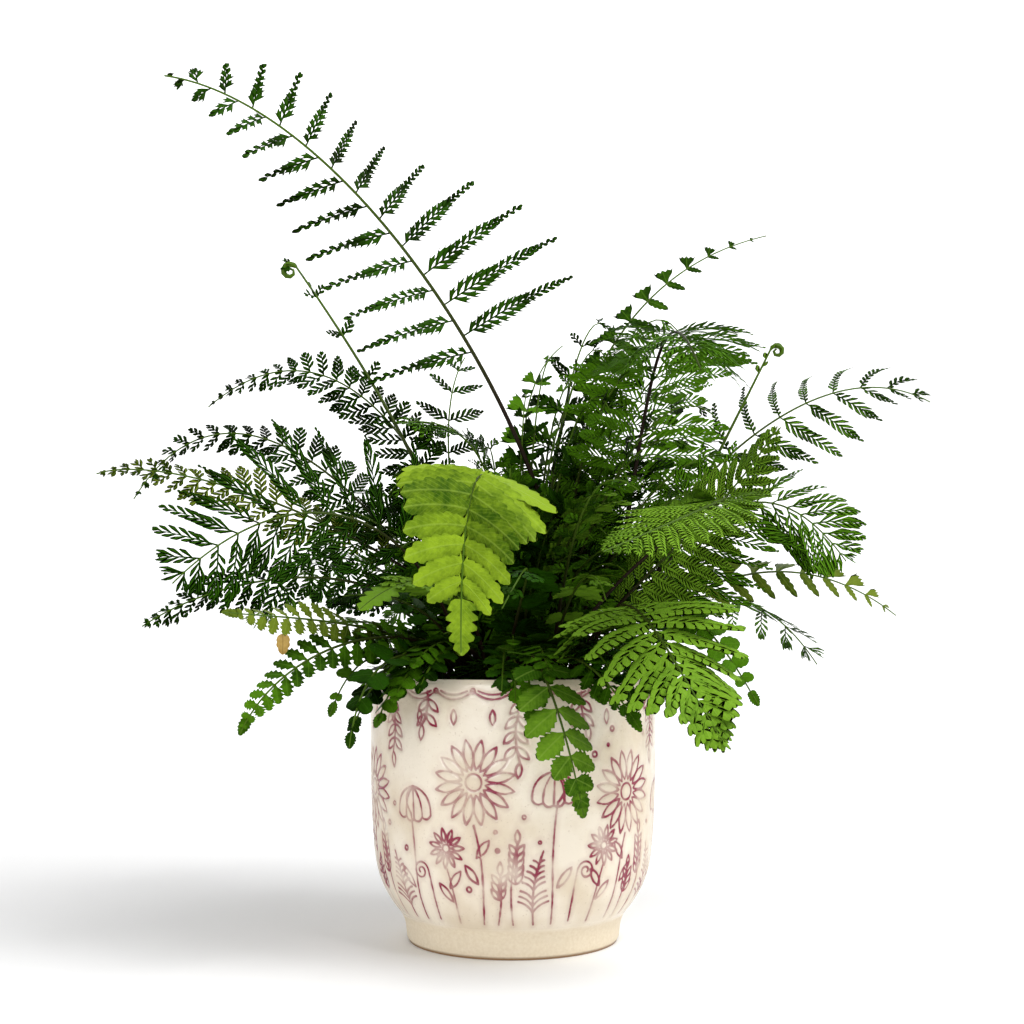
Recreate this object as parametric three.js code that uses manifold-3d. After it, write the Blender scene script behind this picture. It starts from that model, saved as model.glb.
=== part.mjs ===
// A potted mother fern: a glazed pot with a stepped foot, its potting soil and the fern's fronds.
// Millimetres, +Z up, origin at the centre of the pot's underside, -Y towards the viewer.
// Each frond is one closed leaf body: a tapering midrib whose surface runs out into lobed leaflets,
// thickest along their middle and sharp at their cut edge.

import * as THREE from "three";
import { mergeVertices } from "three/addons/utils/BufferGeometryUtils.js";
import Module from "manifold-3d";

const wasm = await Module();
wasm.setup();

const { degToRad, lerp } = THREE.MathUtils;
const SIDES = ["left", "right"];
const GAP = 0.3;
const TURNS = 26;

// The pot and its soil
const POT_HEIGHT = 127.5;
const POT_RADIUS = 70;
const POT_WALL = 5;
const FOOT_RADIUS = 51.5;
const FOOT_HEIGHT = 12.5;
const FLOOR_HEIGHT = 8;
const SOIL_HEIGHT = 112;
const SOIL_CROWN = 4;

// The fronds: height of a stem's foot, half widths of the midrib, and rows of points along it
const STEM_FOOT = 100;
const STEM_HALF = 1.1;
const TIP_HALF = 0.45;
const STRAIGHT_FOOT = 22;
const STEM_STEPS = 2;
const COIL_STEPS = 10;
const COIL_SHARE = 0.13;
const COIL_TURNS = 1.3;
const HOLE_ROOM = 0.6;

// The leaflets: half thickness, half the foot on the midrib, crowding to the tip, room round them
const BLADE_HALF = 0.5;
const LEAFLET_FOOT = 0.8;
const CROWDING = 1.15;
const MOST_WIDTH = 0.44;
const CLEAR_ROOM = 0.3;

// The kinds of leaflet: lobes on a side, what is left at a notch, half width for their length,
// how near to the tip they are widest, and how far they bend towards the frond's tip
const KINDS = {
  comb: { lobes: 3, notch: 0.45, width: 0.075, widest: 0.75, bend: 0.06 },
  plume: { lobes: 3, notch: 0.34, width: 0.13, widest: 0.65, bend: 0.14 },
  feather: { lobes: 2, notch: 0.4, width: 0.17, widest: 0.65, bend: 0.14 },
  broad: { lobes: 3, notch: 0.85, width: 0.24, widest: 1.05, bend: 0.16 },
  round: { lobes: 2, notch: 0.92, width: 0.36, widest: 0.85, bend: 0.05 },
  wedge: { lobes: 2, notch: 0.78, width: 0.32, widest: 1.1, bend: 0.1 },
};

const GREENS = {
  dark: 0x244d1a,
  mid: 0x3a7427,
  fresh: 0x59992f,
  lime: 0x93b52c,
  olive: 0x6a7d30,
};

// Every frond: its midrib from the crown to the tip as four steering points (the first is at the
// stem's foot), its pairs of leaflets and their kind, the longest leaflet, the share of the midrib
// below the first pair and the blade's turn about the midrib. Some also say how soon the leaflets
// grow shorter, their angles at the first pair and the tip, how much wider the right side's angles
// are, how far the first pair is raised, their droop, the share of one side's length, and the length
// and half width of a last leaflet or the radius of a coil at the tip
const FRONDS = {
  tall: {
    midrib: [[26, 8], [55, 25, 199], [-69, -20, 414], [-173, -36, 420]],
    kind: "comb", green: "dark", pairs: 13, leaflet: 60, bare: 0.49, turn: -78,
    fullest: 0.62, spread: [80, 60], sweep: 6, droop: 0.16, right: 1.36, alternate: true,
  },
  young: {
    midrib: [[-14, -4], [-16, -10, 188], [-61, -18, 262], [-106, -28, 326]],
    kind: "feather", green: "dark", pairs: 6, leaflet: 12, bare: 0.5, turn: -60, coil: 4,
  },
  left_high: {
    midrib: [[-16, 16], [1, 12, 160], [-73, 42, 350], [-166, 50, 269]],
    kind: "feather", green: "dark", pairs: 11, leaflet: 30, bare: 0.4, turn: -58, fullest: 0.5,
  },
  left_branch: {
    midrib: [[-20, 6], [-11, -15, 157], [-141, 38, 324], [-195, 14, 215]],
    kind: "feather", green: "dark", pairs: 10, leaflet: 26, bare: 0.4, turn: -52, fullest: 0.45,
  },
  left_long: {
    midrib: [[-6, 4], [24, -2, 165], [-160, -21, 243], [-203, -26, 224]],
    kind: "feather", green: "olive", pairs: 10, leaflet: 24, bare: 0.44, turn: -50,
  },
  left_fan: {
    midrib: [[-19, -12], [-27, -39, 204], [-96, -55, 233], [-149, -90, 168]],
    kind: "plume", green: "dark", pairs: 8, leaflet: 48, bare: 0.4, turn: -66,
  },
  left_low: {
    midrib: [[-30, -2], [-21, -16, 192], [-125, -41, 185], [-174, -44, 150]],
    kind: "feather", green: "dark", pairs: 9, leaflet: 24, bare: 0.4, turn: -48,
  },
  left_olive: {
    midrib: [[-27, -11], [-10, -10, 155], [-95, -90, 153], [-123, -108, 156]],
    kind: "round", green: "olive", pairs: 7, leaflet: 13, bare: 0.5, turn: -50,
  },
  left_hanging: {
    midrib: [[-20, -19], [-17, -35, 166], [-96, -97, 154], [-116, -100, 104]],
    kind: "round", green: "mid", pairs: 8, leaflet: 15, bare: 0.42, turn: -45, droop: 0.04,
  },
  rim_left: {
    midrib: [[-20, -28], [-24, -48, 140], [-64, -92, 160], [-70, -95, 98]],
    kind: "round", green: "dark", pairs: 6, leaflet: 11, bare: 0.4, turn: -20, droop: 0.04,
  },
  rim_left_small: {
    midrib: [[-26, -20], [-34, -38, 132], [-68, -60, 160], [-82, -68, 110]],
    kind: "round", green: "mid", pairs: 5, leaflet: 9, bare: 0.4, turn: -20, droop: 0.04,
  },
  lime: {
    midrib: [[-3, -16], [3, 6, 236], [-24, -103, 264], [-21, -132, 138]],
    kind: "broad", green: "lime", pairs: 9, leaflet: 37, bare: 0.57, turn: -8, fullest: 0.5,
    spread: [82, 60], sweep: 12, droop: 0.12, ending: [24, 6], raised: { left: -6, right: 16 },
  },
  pale_left: {
    midrib: [[-14, -22], [-6, -34, 151], [-30, -68, 193], [-66, -98, 157]],
    kind: "broad", green: "fresh", pairs: 4, leaflet: 16, bare: 0.5, turn: -10, ending: [20, 5],
  },
  front_hanging: {
    midrib: [[-2, -31], [0, -64, 178], [20, -109, 122], [30, -96, 69]],
    kind: "round", green: "fresh", pairs: 9, leaflet: 20, bare: 0.36, turn: 0, droop: 0.04,
  },
  front_toothed: {
    midrib: [[10, -30], [10, -48, 149], [31, -89, 147], [55, -92, 105]],
    kind: "round", green: "mid", pairs: 6, leaflet: 16, bare: 0.42, turn: 10, droop: 0.04,
  },
  front_bright: {
    midrib: [[28, -24], [50, -28, 207], [56, -119, 148], [88, -118, 100]],
    kind: "broad", green: "fresh", pairs: 8, leaflet: 44, bare: 0.42, turn: 14,
    fullest: 0.56, spread: [80, 46], droop: 0.12,
  },
  right_round: {
    midrib: [[26, -10], [67, -20, 165], [78, -39, 182], [113, -50, 114]],
    kind: "round", green: "mid", pairs: 8, leaflet: 10, bare: 0.5, turn: 60, droop: 0.04,
  },
  right_olive: {
    midrib: [[36, -3], [57, 4, 167], [137, 25, 207], [195, 12, 156]],
    kind: "wedge", green: "olive", pairs: 10, leaflet: 16, bare: 0.42, turn: 50,
  },
  feather_up: {
    midrib: [[17, -4], [31, -16, 163], [93, -46, 189], [122, -62, 243]],
    kind: "feather", green: "fresh", pairs: 9, leaflet: 34, bare: 0.4, turn: 55,
  },
  feather_front: {
    midrib: [[16, -34], [11, -62, 186], [181, -44, 244], [35, -142, 179]],
    kind: "feather", green: "fresh", pairs: 10, leaflet: 34, bare: 0.5, turn: 10, droop: 0.25,
  },
  right_open: {
    midrib: [[22, -8], [50, -19, 138], [105, -11, 270], [160, -30, 181]],
    kind: "plume", green: "mid", pairs: 8, leaflet: 46, bare: 0.42, turn: 60,
  },
  right_top: {
    midrib: [[26, 14], [32, 22, 162], [150, 61, 321], [231, 62, 274]],
    kind: "feather", green: "mid", pairs: 8, leaflet: 46, bare: 0.58, turn: 50,
    fullest: 0.4, droop: 0.25, left: 0.4,
  },
  right_upright: {
    midrib: [[14, 16], [10, 17, 199], [30, 59, 343], [144, 70, 371]],
    kind: "wedge", green: "mid", pairs: 11, leaflet: 14, bare: 0.5, turn: 60,
  },
  crozier: {
    midrib: [[30, 13], [66, 16, 162], [102, 18, 232], [134, 16, 295]],
    kind: "round", green: "fresh", pairs: 0, leaflet: 0, bare: 1, turn: 0, coil: 3.4,
  },
  dome: {
    midrib: [[34, 0], [64, 14, 188], [73, 34, 362], [80, -112, 258]],
    kind: "plume", green: "mid", pairs: 11, leaflet: 50, bare: 0.3, turn: 0, droop: 0.35,
  },
  back_thin: {
    midrib: [[-6, 16], [-21, 51, 158], [-49, 30, 256], [-27, 86, 305]],
    kind: "feather", green: "dark", pairs: 6, leaflet: 26, bare: 0.5, turn: 0,
  },
  inner_left: {
    midrib: [[-12, 2], [-11, 3, 135], [15, 14, 269], [-57, -26, 249]],
    kind: "feather", green: "mid", pairs: 8, leaflet: 30, bare: 0.5, turn: -20, droop: 0.25,
  },
  inner_back: {
    midrib: [[8, 24], [25, 20, 142], [-20, 53, 270], [29, 82, 311]],
    kind: "wedge", green: "mid", pairs: 6, leaflet: 13, bare: 0.5, turn: 20,
  },
  inner_bright: {
    midrib: [[6, -14], [25, 4, 104], [17, -91, 244], [55, -98, 208]],
    kind: "wedge", green: "fresh", pairs: 5, leaflet: 13, bare: 0.5, turn: 10,
  },
  inner_olive: {
    midrib: [[12, -22], [16, -24, 140], [33, -71, 198], [40, -96, 161]],
    kind: "broad", green: "olive", pairs: 4, leaflet: 14, bare: 0.5, turn: 0,
  },
  inner_low: {
    midrib: [[-8, -26], [-4, -30, 150], [20, -88, 205], [-5, -108, 157]],
    kind: "round", green: "mid", pairs: 6, leaflet: 14, bare: 0.4, turn: 0, droop: 0.04,
  },
  back_left: {
    midrib: [[-24, 14], [-50, 40, 200], [-110, 95, 215], [-150, 110, 150]],
    kind: "feather", green: "mid", pairs: 7, leaflet: 36, bare: 0.38, turn: 0,
  },
  back_left_high: {
    midrib: [[-10, 24], [-30, 60, 220], [-70, 110, 260], [-95, 150, 190]],
    kind: "feather", green: "dark", pairs: 7, leaflet: 36, bare: 0.42, turn: 0,
  },
  back_middle: {
    midrib: [[0, 30], [-5, 80, 210], [0, 130, 230], [5, 165, 150]],
    kind: "feather", green: "mid", pairs: 7, leaflet: 36, bare: 0.38, turn: 0,
  },
  back_right: {
    midrib: [[18, 26], [45, 70, 210], [90, 120, 220], [120, 140, 150]],
    kind: "feather", green: "dark", pairs: 7, leaflet: 36, bare: 0.38, turn: 0,
  },
  back_right_low: {
    midrib: [[30, 18], [70, 40, 180], [130, 75, 190], [170, 85, 130]],
    kind: "feather", green: "mid", pairs: 7, leaflet: 32, bare: 0.38, turn: 0,
  },
  back_rim_left: {
    midrib: [[-14, 30], [-32, 58, 166], [-58, 92, 156], [-70, 108, 95]],
    kind: "round", green: "mid", pairs: 6, leaflet: 15, bare: 0.42, turn: 0, droop: 0.04,
  },
  back_rim_right: {
    midrib: [[10, 32], [28, 66, 168], [50, 100, 152], [60, 115, 90]],
    kind: "round", green: "fresh", pairs: 6, leaflet: 15, bare: 0.42, turn: 0, droop: 0.04,
  },
};

// How a leaflet may be shortened and raised or lowered where another leaf is in its way
const FITS = [
  [1, 0], [1, 14], [1, -14], [0.8, 0], [0.8, 22], [0.8, -22],
  [0.6, 0], [0.6, 26], [0.6, -26], [0.42, 0], [0.42, 30], [0.42, -30],
].map(([share, lift]) => ({ share, lift: degToRad(lift) }));

// A closed surface as a solid, and back again
function solidOf(geometry) {
  const bare = geometry.clone().deleteAttribute("normal").deleteAttribute("uv");
  const merged = mergeVertices(bare, 1e-4);
  return new wasm.Manifold(
    new wasm.Mesh({
      numProp: 3,
      vertProperties: new Float32Array(merged.attributes.position.array),
      triVerts: new Uint32Array(merged.index.array),
    }),
  );
}

function geometryOf(solid) {
  const { vertProperties, triVerts } = solid.getMesh();
  const geometry = new THREE.BufferGeometry();
  geometry.setAttribute("position", new THREE.BufferAttribute(vertProperties, 3));
  geometry.setIndex(new THREE.BufferAttribute(triVerts, 1));
  return geometry;
}

function turned(profile) {
  const outline = profile.map(([radius, height]) => new THREE.Vector2(radius, height));
  return new THREE.LatheGeometry(outline, TURNS).rotateX(Math.PI / 2);
}

// The pot: a nearly straight wall that rounds in to a stepped foot, with a flat underside
function potGeometry() {
  const inside = POT_RADIUS - POT_WALL;
  return turned([
    [0, 0],
    [FOOT_RADIUS - 1, 0],
    [FOOT_RADIUS, 1.2],
    [FOOT_RADIUS + 1, FOOT_HEIGHT - 1],
    [POT_RADIUS - 10.5, FOOT_HEIGHT + 7],
    [POT_RADIUS - 4, FOOT_HEIGHT + 19.5],
    [POT_RADIUS - 1.5, FOOT_HEIGHT + 36.5],
    [POT_RADIUS, POT_HEIGHT * 0.63],
    [POT_RADIUS + 0.3, POT_HEIGHT - 2.5],
    [POT_RADIUS - POT_WALL / 2, POT_HEIGHT],
    [inside, POT_HEIGHT - 2.5],
    [inside - 1.5, FOOT_HEIGHT + 36.5],
    [inside - 10.5, FOOT_HEIGHT + 7],
    [FOOT_RADIUS - POT_WALL, FLOOR_HEIGHT],
    [0, FLOOR_HEIGHT],
  ]);
}

// The soil fills the pot to below its rim and rises to the crown, with a plain hole for each stem
function soilGeometry(holes) {
  const inside = POT_RADIUS - POT_WALL - GAP;
  const lump = turned([
    [0, FLOOR_HEIGHT + GAP],
    [FOOT_RADIUS - POT_WALL - GAP, FLOOR_HEIGHT + GAP],
    [inside - 10.5, FOOT_HEIGHT + 7 + GAP],
    [inside - 1.5, FOOT_HEIGHT + 36.5],
    [inside - GAP, SOIL_HEIGHT],
    [0, SOIL_HEIGHT + SOIL_CROWN],
  ]);
  return geometryOf(solidOf(lump).subtract(wasm.Manifold.union(holes)));
}

// The level direction to the left of the way that a midrib leans
function sidewaysOf(curve) {
  const way = curve.getPoint(1).sub(curve.getPoint(0));
  return new THREE.Vector3(-way.y, way.x, 0).normalize();
}

// A young frond's midrib: a stem that ends in a flat coil
class CoiledMidrib extends THREE.Curve {
  constructor(stem, radius) {
    super();
    this.stem = stem;
    this.radius = radius;
    this.ahead = stem.getTangent(1);
    this.inwards = sidewaysOf(stem).cross(this.ahead).normalize();
  }

  getPoint(share, target = new THREE.Vector3()) {
    const along = (share - 1 + COIL_SHARE) / COIL_SHARE;
    if (along < 0) return target.copy(this.stem.getPoint(share / (1 - COIL_SHARE)));
    const angle = COIL_TURNS * 2 * Math.PI * along;
    const radius = this.radius * (1 - 0.7 * along);
    return target
      .copy(this.stem.getPoint(1))
      .addScaledVector(this.inwards, this.radius - radius * Math.cos(angle))
      .addScaledVector(this.ahead, radius * Math.sin(angle));
  }
}

function midribOf(frond) {
  const points = frond.midrib.map(([x, y, z = STEM_FOOT]) => new THREE.Vector3(x, y, z));
  const stem = new THREE.CubicBezierCurve3(...points);
  return frond.coil ? new CoiledMidrib(stem, frond.coil) : stem;
}

// Three points round the midrib, one on top, with the ways to the tip, the left and the upper side
function rowAt(frond, share, room = 0, width = 0) {
  const place = frond.curve.getPointAt(share);
  const ahead = frond.curve.getTangentAt(share);
  const left = frond.sideways.clone();
  left.addScaledVector(ahead, -left.dot(ahead)).normalize();
  left.applyAxisAngle(ahead, degToRad(frond.turn));
  const up = ahead.clone().cross(left);
  const half = lerp(STEM_HALF, TIP_HALF, share) + room;
  const at = (way, distance) => place.clone().addScaledVector(way, distance);
  const sunk = up.clone().multiplyScalar(-0.5 * half);
  return {
    share,
    place,
    ahead,
    left,
    up,
    top: at(up, half),
    edges: { left: at(left, half + width).add(sunk), right: at(left, -half - width).add(sunk) },
    leaflets: {},
  };
}

// A steady small variation from leaflet to leaflet, between -1 and 1
function wobble(frond, number) {
  return Math.sin(12.9898 * number + 4.1414 * frond.number);
}

// The share of the midrib that carries side leaflets, below a last leaflet of its own if it has one
function leafyEnd(frond) {
  return frond.ending ? 1 - frond.ending[0] / frond.length : 1;
}

// Where leaflets stand along a midrib: closer together towards the tip, in pairs or alternately
function leafletPlaces(frond) {
  const { pairs, kind, leaflet, fullest = 0.3, spread = [74, 48], sweep = 0, raised = {} } = frond;
  const shareAt = (step) => {
    const left = Math.max(0, 1 - step / pairs);
    return lerp(leafyEnd(frond), frond.bare, left ** CROWDING);
  };
  const places = [];
  for (let pair = 0; pair < pairs; pair++) {
    for (const side of SIDES) {
      const step = pair + (frond.alternate && side === "right" ? 0.5 : 0);
      const vary = wobble(frond, 2 * pair + SIDES.indexOf(side));
      const swept = side === "right" ? sweep : -sweep;
      const angle = degToRad(lerp(...spread, step / pairs) + swept + 4 * vary);
      const grown = Math.sin(Math.PI * lerp(fullest, frond.ending ? 0.92 : 1, step / pairs));
      const reach = leaflet * grown * (frond[side] ?? 1) * (1 + 0.08 * vary);
      const spacing = (shareAt(step + 1) - shareAt(step)) * frond.length;
      const width = Math.min(MOST_WIDTH * spacing * Math.sin(angle), KINDS[kind].width * reach);
      const lift = degToRad((raised[side] ?? 0) * (1 - step / pairs));
      places.push({ share: shareAt(step), side, angle, reach, width, lift });
    }
  }
  return places;
}

// The half width of a leaflet along its length, as a share of its greatest
function widthAt(kind, along) {
  return Math.sin(Math.PI * along ** kind.widest);
}

// The points of one leaflet: its middle over and under, its edges near the stem and far from it
function leafletAt(frond, row, spot, fit, room = 0) {
  const kind = KINDS[frond.kind];
  const sign = spot.side === "left" ? 1 : -1;
  const way = row.ahead.clone().multiplyScalar(Math.cos(spot.angle));
  way.addScaledVector(row.left, sign * Math.sin(spot.angle));
  const lift = fit.lift + spot.lift;
  way.multiplyScalar(Math.cos(lift)).addScaledVector(row.up, Math.sin(lift));
  const curl = row.ahead.clone().multiplyScalar(kind.bend);
  curl.z -= frond.droop ?? 0.15;
  const reach = spot.reach * fit.share + room;
  const width = spot.width * fit.share + room;
  const at = (along, across, height) => {
    const heading = way.clone().addScaledVector(curl, 2 * along).normalize();
    const wide = row.ahead.clone().addScaledVector(heading, -row.ahead.dot(heading)).normalize();
    const normal = wide.clone().cross(heading).multiplyScalar(sign);
    return row.place
      .clone()
      .addScaledVector(way, reach * along)
      .addScaledVector(curl, reach * along * along)
      .addScaledVector(wide, width * across)
      .addScaledVector(normal, height);
  };
  const leaflet = { over: [], under: [], near: [], far: [], apex: at(1, 0, 0) };
  const steps = kind.lobes + 0.35;
  for (let lobe = 1; lobe <= kind.lobes; lobe++) {
    const crest = (lobe - 0.3) / steps;
    leaflet.near.push(at(crest, -0.85 * widthAt(kind, crest), 0));
    leaflet.far.push(at(crest, widthAt(kind, crest), 0));
    if (lobe === kind.lobes) break;
    const notch = lobe / steps;
    leaflet.near.push(at(notch, -0.85 * kind.notch * widthAt(kind, notch), 0));
    leaflet.far.push(at(notch, kind.notch * widthAt(kind, notch), 0));
    leaflet.over.push(at(notch, 0, BLADE_HALF + room));
    leaflet.under.push(at(notch, 0, -BLADE_HALF - room));
  }
  return leaflet;
}

// Collects numbered points and the triangles between them
class Surface {
  points = [];
  faces = [];

  add(point) {
    this.points.push(point.x, point.y, point.z);
    return this.points.length / 3 - 1;
  }

  face(a, b, c, flip = false) {
    this.faces.push(a, flip ? c : b, flip ? b : c);
  }

  geometry() {
    const geometry = new THREE.BufferGeometry();
    geometry.setAttribute("position", new THREE.Float32BufferAttribute(this.points, 3));
    geometry.setIndex(this.faces);
    return geometry;
  }
}

// One face of a leaflet: a fan from each point of its middle to the foot, lobes and notches beside it
function addSheet(surface, rim, middle, foot, flip) {
  const { near, far, apex } = rim;
  const face = (a, b, c) => surface.face(a, b, c, flip);
  foot.slice(1).forEach((point, i) => face(middle[0], foot[i], point));
  face(middle[0], foot.at(-1), far[0]);
  face(middle[0], near[0], foot[0]);
  middle.forEach((point, i) => {
    const crest = 2 * i;
    const beyond = middle[i + 1] ?? apex;
    face(point, far[crest], far[crest + 1]);
    face(point, near[crest + 1], near[crest]);
    face(point, far[crest + 1], far[crest + 2]);
    face(point, near[crest + 2], near[crest + 1]);
    face(point, far[crest + 2], beyond);
    face(point, beyond, near[crest + 2]);
  });
}

// A leaflet that runs out of the midrib between two rows
function addLeaflet(surface, leaflet, from, to, side) {
  const flip = side === "right";
  const number = (points) => points.map((point) => surface.add(point));
  const rim = { near: number(leaflet.near), far: number(leaflet.far), apex: surface.add(leaflet.apex) };
  addSheet(surface, rim, number(leaflet.over), [from[side], from.top, to.top, to[side]], flip);
  addSheet(surface, rim, number(leaflet.under), [from[side], to[side]], !flip);
}

function addStrip(surface, from, to, one, other) {
  surface.face(from[one], to[one], to[other]);
  surface.face(from[one], to[other], from[other]);
}

// The closed surface over the rows of a midrib, cut off flat or ending in a point
function leafGeometry(rows, point) {
  const surface = new Surface();
  const ribs = rows.map(({ top, edges }) => ({
    top: surface.add(top),
    left: surface.add(edges.left),
    right: surface.add(edges.right),
  }));
  rows.slice(1).forEach((_, i) => {
    const [from, to] = [ribs[i], ribs[i + 1]];
    for (const side of SIDES) {
      const leaflet = rows[i].leaflets[side];
      if (leaflet) addLeaflet(surface, leaflet, from, to, side);
      else addStrip(surface, from, to, ...(side === "left" ? ["top", "left"] : ["right", "top"]));
    }
    addStrip(surface, from, to, "left", "right");
  });
  const [foot, end] = [ribs[0], ribs.at(-1)];
  surface.face(foot.top, foot.left, foot.right);
  if (!point) {
    surface.face(end.top, end.right, end.left);
    return surface.geometry();
  }
  const tip = surface.add(point);
  surface.face(end.top, tip, end.left);
  surface.face(end.left, tip, end.right);
  surface.face(end.right, tip, end.top);
  return surface.geometry();
}

// The rows of a frond: its bare stem, two rows for each leaflet or pair, then a coil or last leaflet
function rowsOf(frond) {
  const { pairs, bare, length, coil, ending } = frond;
  const end = leafyEnd(frond);
  const steps = pairs ? STEM_STEPS : 2 * STEM_STEPS;
  const stem = pairs ? bare : 1 - COIL_SHARE;
  const rows = [rowAt(frond, 0)];
  for (let step = 0; step < steps; step++) {
    rows.push(rowAt(frond, lerp(STRAIGHT_FOOT / length, stem, step / (steps + 0.3))));
  }
  const foot = LEAFLET_FOOT / length;
  for (const spot of leafletPlaces(frond)) {
    if (spot.side === "left" || frond.alternate) {
      rows.push(rowAt(frond, spot.share - foot), rowAt(frond, spot.share + foot));
      rows.at(-2).spots = [];
    }
    rows.at(-2).spots.push(spot);
  }
  for (let step = 0; coil && step < COIL_STEPS; step++) {
    rows.push(rowAt(frond, 1 - (COIL_SHARE * (COIL_STEPS - step)) / (COIL_STEPS + 0.5)));
  }
  for (const [along, wide] of ending ? [[0.15, 0.7], [0.4, 1], [0.52, 0.7], [0.75, 0.65]] : []) {
    rows.push(rowAt(frond, lerp(end, 1, along), 0, wide * ending[1]));
  }
  return rows;
}

// The hole that the straight foot of a stem stands in, a little wider and deeper than the stem
function holeOf(frond) {
  const rows = frond.rows.slice(0, 2).map(({ share }) => rowAt(frond, share, HOLE_ROOM));
  const down = frond.rows[0].place.clone().sub(frond.rows[1].place).setLength(HOLE_ROOM);
  for (const point of [rows[0].top, rows[0].edges.left, rows[0].edges.right]) point.add(down);
  return solidOf(leafGeometry(rows));
}

const fronds = Object.entries(FRONDS).map(([name, given], number) => {
  const curve = midribOf(given);
  const frond = { ...given, name: `frond_${name}`, number, curve };
  frond.sideways = sidewaysOf(curve);
  frond.length = curve.getLength();
  frond.rows = rowsOf(frond);
  return frond;
});

// What a leaflet must stay clear of: a solid, its box and the frond that it belongs to
function obstacleOf(geometry, owner) {
  const solid = solidOf(geometry);
  return { solid, box: solid.boundingBox(), owner };
}

function touches(one, other) {
  const [a, b] = [one.box, other.box];
  const boxesMeet = [0, 1, 2].every((axis) => a.min[axis] <= b.max[axis] && b.min[axis] <= a.max[axis]);
  return boxesMeet && !one.solid.intersect(other.solid).isEmpty();
}

// One leaflet by itself, with the piece of midrib that carries it
function loneLeaflet(frond, rows, spot, fit, room) {
  const leaflets = { [spot.side]: leafletAt(frond, rows[0], spot, fit, room) };
  return leafGeometry([{ ...rows[0], leaflets }, rows[1]]);
}

// Gives each leaflet the first fit that is clear of the pot, the soil, the stems and earlier leaflets
function placeLeaflets(obstacles) {
  for (const frond of fronds) {
    const own = [];
    frond.rows.forEach((row, i) => {
      for (const spot of row.spots ?? []) {
        const rows = [row, frond.rows[i + 1]];
        const elsewhere = obstacles.filter(({ owner }) => owner !== frond);
        const others = [...elsewhere, ...own.filter((leaflet) => leaflet.row !== row)];
        const fit = FITS.find((choice) => {
          const wide = obstacleOf(loneLeaflet(frond, rows, spot, choice, CLEAR_ROOM));
          return !others.some((other) => touches(wide, other));
        });
        if (!fit) continue;
        row.leaflets[spot.side] = leafletAt(frond, row, spot, fit);
        own.push({ ...obstacleOf(loneLeaflet(frond, rows, spot, fit, 0), frond), row });
      }
    });
    obstacles.push(...own);
  }
}

function stemPieces(frond) {
  return frond.rows.slice(1).map((row, i) => obstacleOf(leafGeometry([frond.rows[i], row]), frond));
}

const material = (color, roughness) => new THREE.MeshStandardMaterial({ color, roughness, metalness: 0 });

function meshOf(name, geometry, finish) {
  const mesh = new THREE.Mesh(geometry, finish);
  mesh.name = name;
  return mesh;
}

const pot = potGeometry();
const soil = soilGeometry(fronds.map(holeOf));
placeLeaflets([obstacleOf(pot), obstacleOf(soil), ...fronds.flatMap(stemPieces)]);

const group = new THREE.Group();
group.add(meshOf("pot", pot, material(0xece2cf, 0.3)));
group.add(meshOf("soil", soil, material(0x2e2219, 0.95)));
for (const frond of fronds) {
  const geometry = leafGeometry(frond.rows, frond.curve.getPointAt(1));
  group.add(meshOf(frond.name, geometry, material(GREENS[frond.green], 0.5)));
}

export default group;
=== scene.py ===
# %% [markdown]
# # A potted mother fern
# The plant stands in a round pot of cream glazed stoneware. Its fronds are all different: finely cut
# dark ones, a young yellow-green one, olive ones with round leaflets, and two that are still coiled.
# The solids give every frond its place. This lesson gives each one its real, much finer leaflets,
# presses a line drawing into the pot, and fills the middle of the clump.

import math

import bpy
import numpy as np
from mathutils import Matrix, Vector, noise
from mathutils.kdtree import KDTree


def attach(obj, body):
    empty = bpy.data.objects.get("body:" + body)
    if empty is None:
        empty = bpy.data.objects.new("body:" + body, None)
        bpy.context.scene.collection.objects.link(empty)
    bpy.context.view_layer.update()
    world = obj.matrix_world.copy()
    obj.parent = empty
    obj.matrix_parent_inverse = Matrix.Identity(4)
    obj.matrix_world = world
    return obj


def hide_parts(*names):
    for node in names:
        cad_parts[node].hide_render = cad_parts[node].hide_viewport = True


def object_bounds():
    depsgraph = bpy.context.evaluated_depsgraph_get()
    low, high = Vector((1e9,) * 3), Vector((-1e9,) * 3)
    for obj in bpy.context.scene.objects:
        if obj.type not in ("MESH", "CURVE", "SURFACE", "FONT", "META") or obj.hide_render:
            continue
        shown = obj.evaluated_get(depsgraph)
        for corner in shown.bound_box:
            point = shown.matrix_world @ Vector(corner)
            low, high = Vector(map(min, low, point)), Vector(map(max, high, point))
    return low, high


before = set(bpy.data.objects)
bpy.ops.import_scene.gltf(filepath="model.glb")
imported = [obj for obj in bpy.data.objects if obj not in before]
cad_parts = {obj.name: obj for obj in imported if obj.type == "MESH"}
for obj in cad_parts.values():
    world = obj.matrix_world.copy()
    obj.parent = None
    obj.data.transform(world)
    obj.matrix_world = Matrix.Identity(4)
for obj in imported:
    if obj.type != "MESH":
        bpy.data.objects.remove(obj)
solid_box = [list(corner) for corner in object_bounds()]
print("solids", len(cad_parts), "box in metres", solid_box)

# %% [markdown]
# ## The view
# The photograph was taken from just above the pot's middle, with a short telephoto lens that looks a
# few degrees up. The sizes below are in millimetres, as on the plant, and MM turns them into metres.

# %% Camera
MM = 0.001
EYE = (-0.5, -697, 144.3)
LOOKING_UP = 5.244
LENS, SENSOR = 49.03, 36

bpy.ops.object.select_all(action="DESELECT")
bpy.ops.object.camera_add(
    location=[MM * place for place in EYE], rotation=(math.radians(90 + LOOKING_UP), 0, 0)
)
camera = bpy.context.object
camera.name = "camera"
camera.data.lens = LENS
camera.data.sensor_width = SENSOR
bpy.context.scene.camera = camera
print("camera", tuple(round(place, 4) for place in camera.location))

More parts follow.
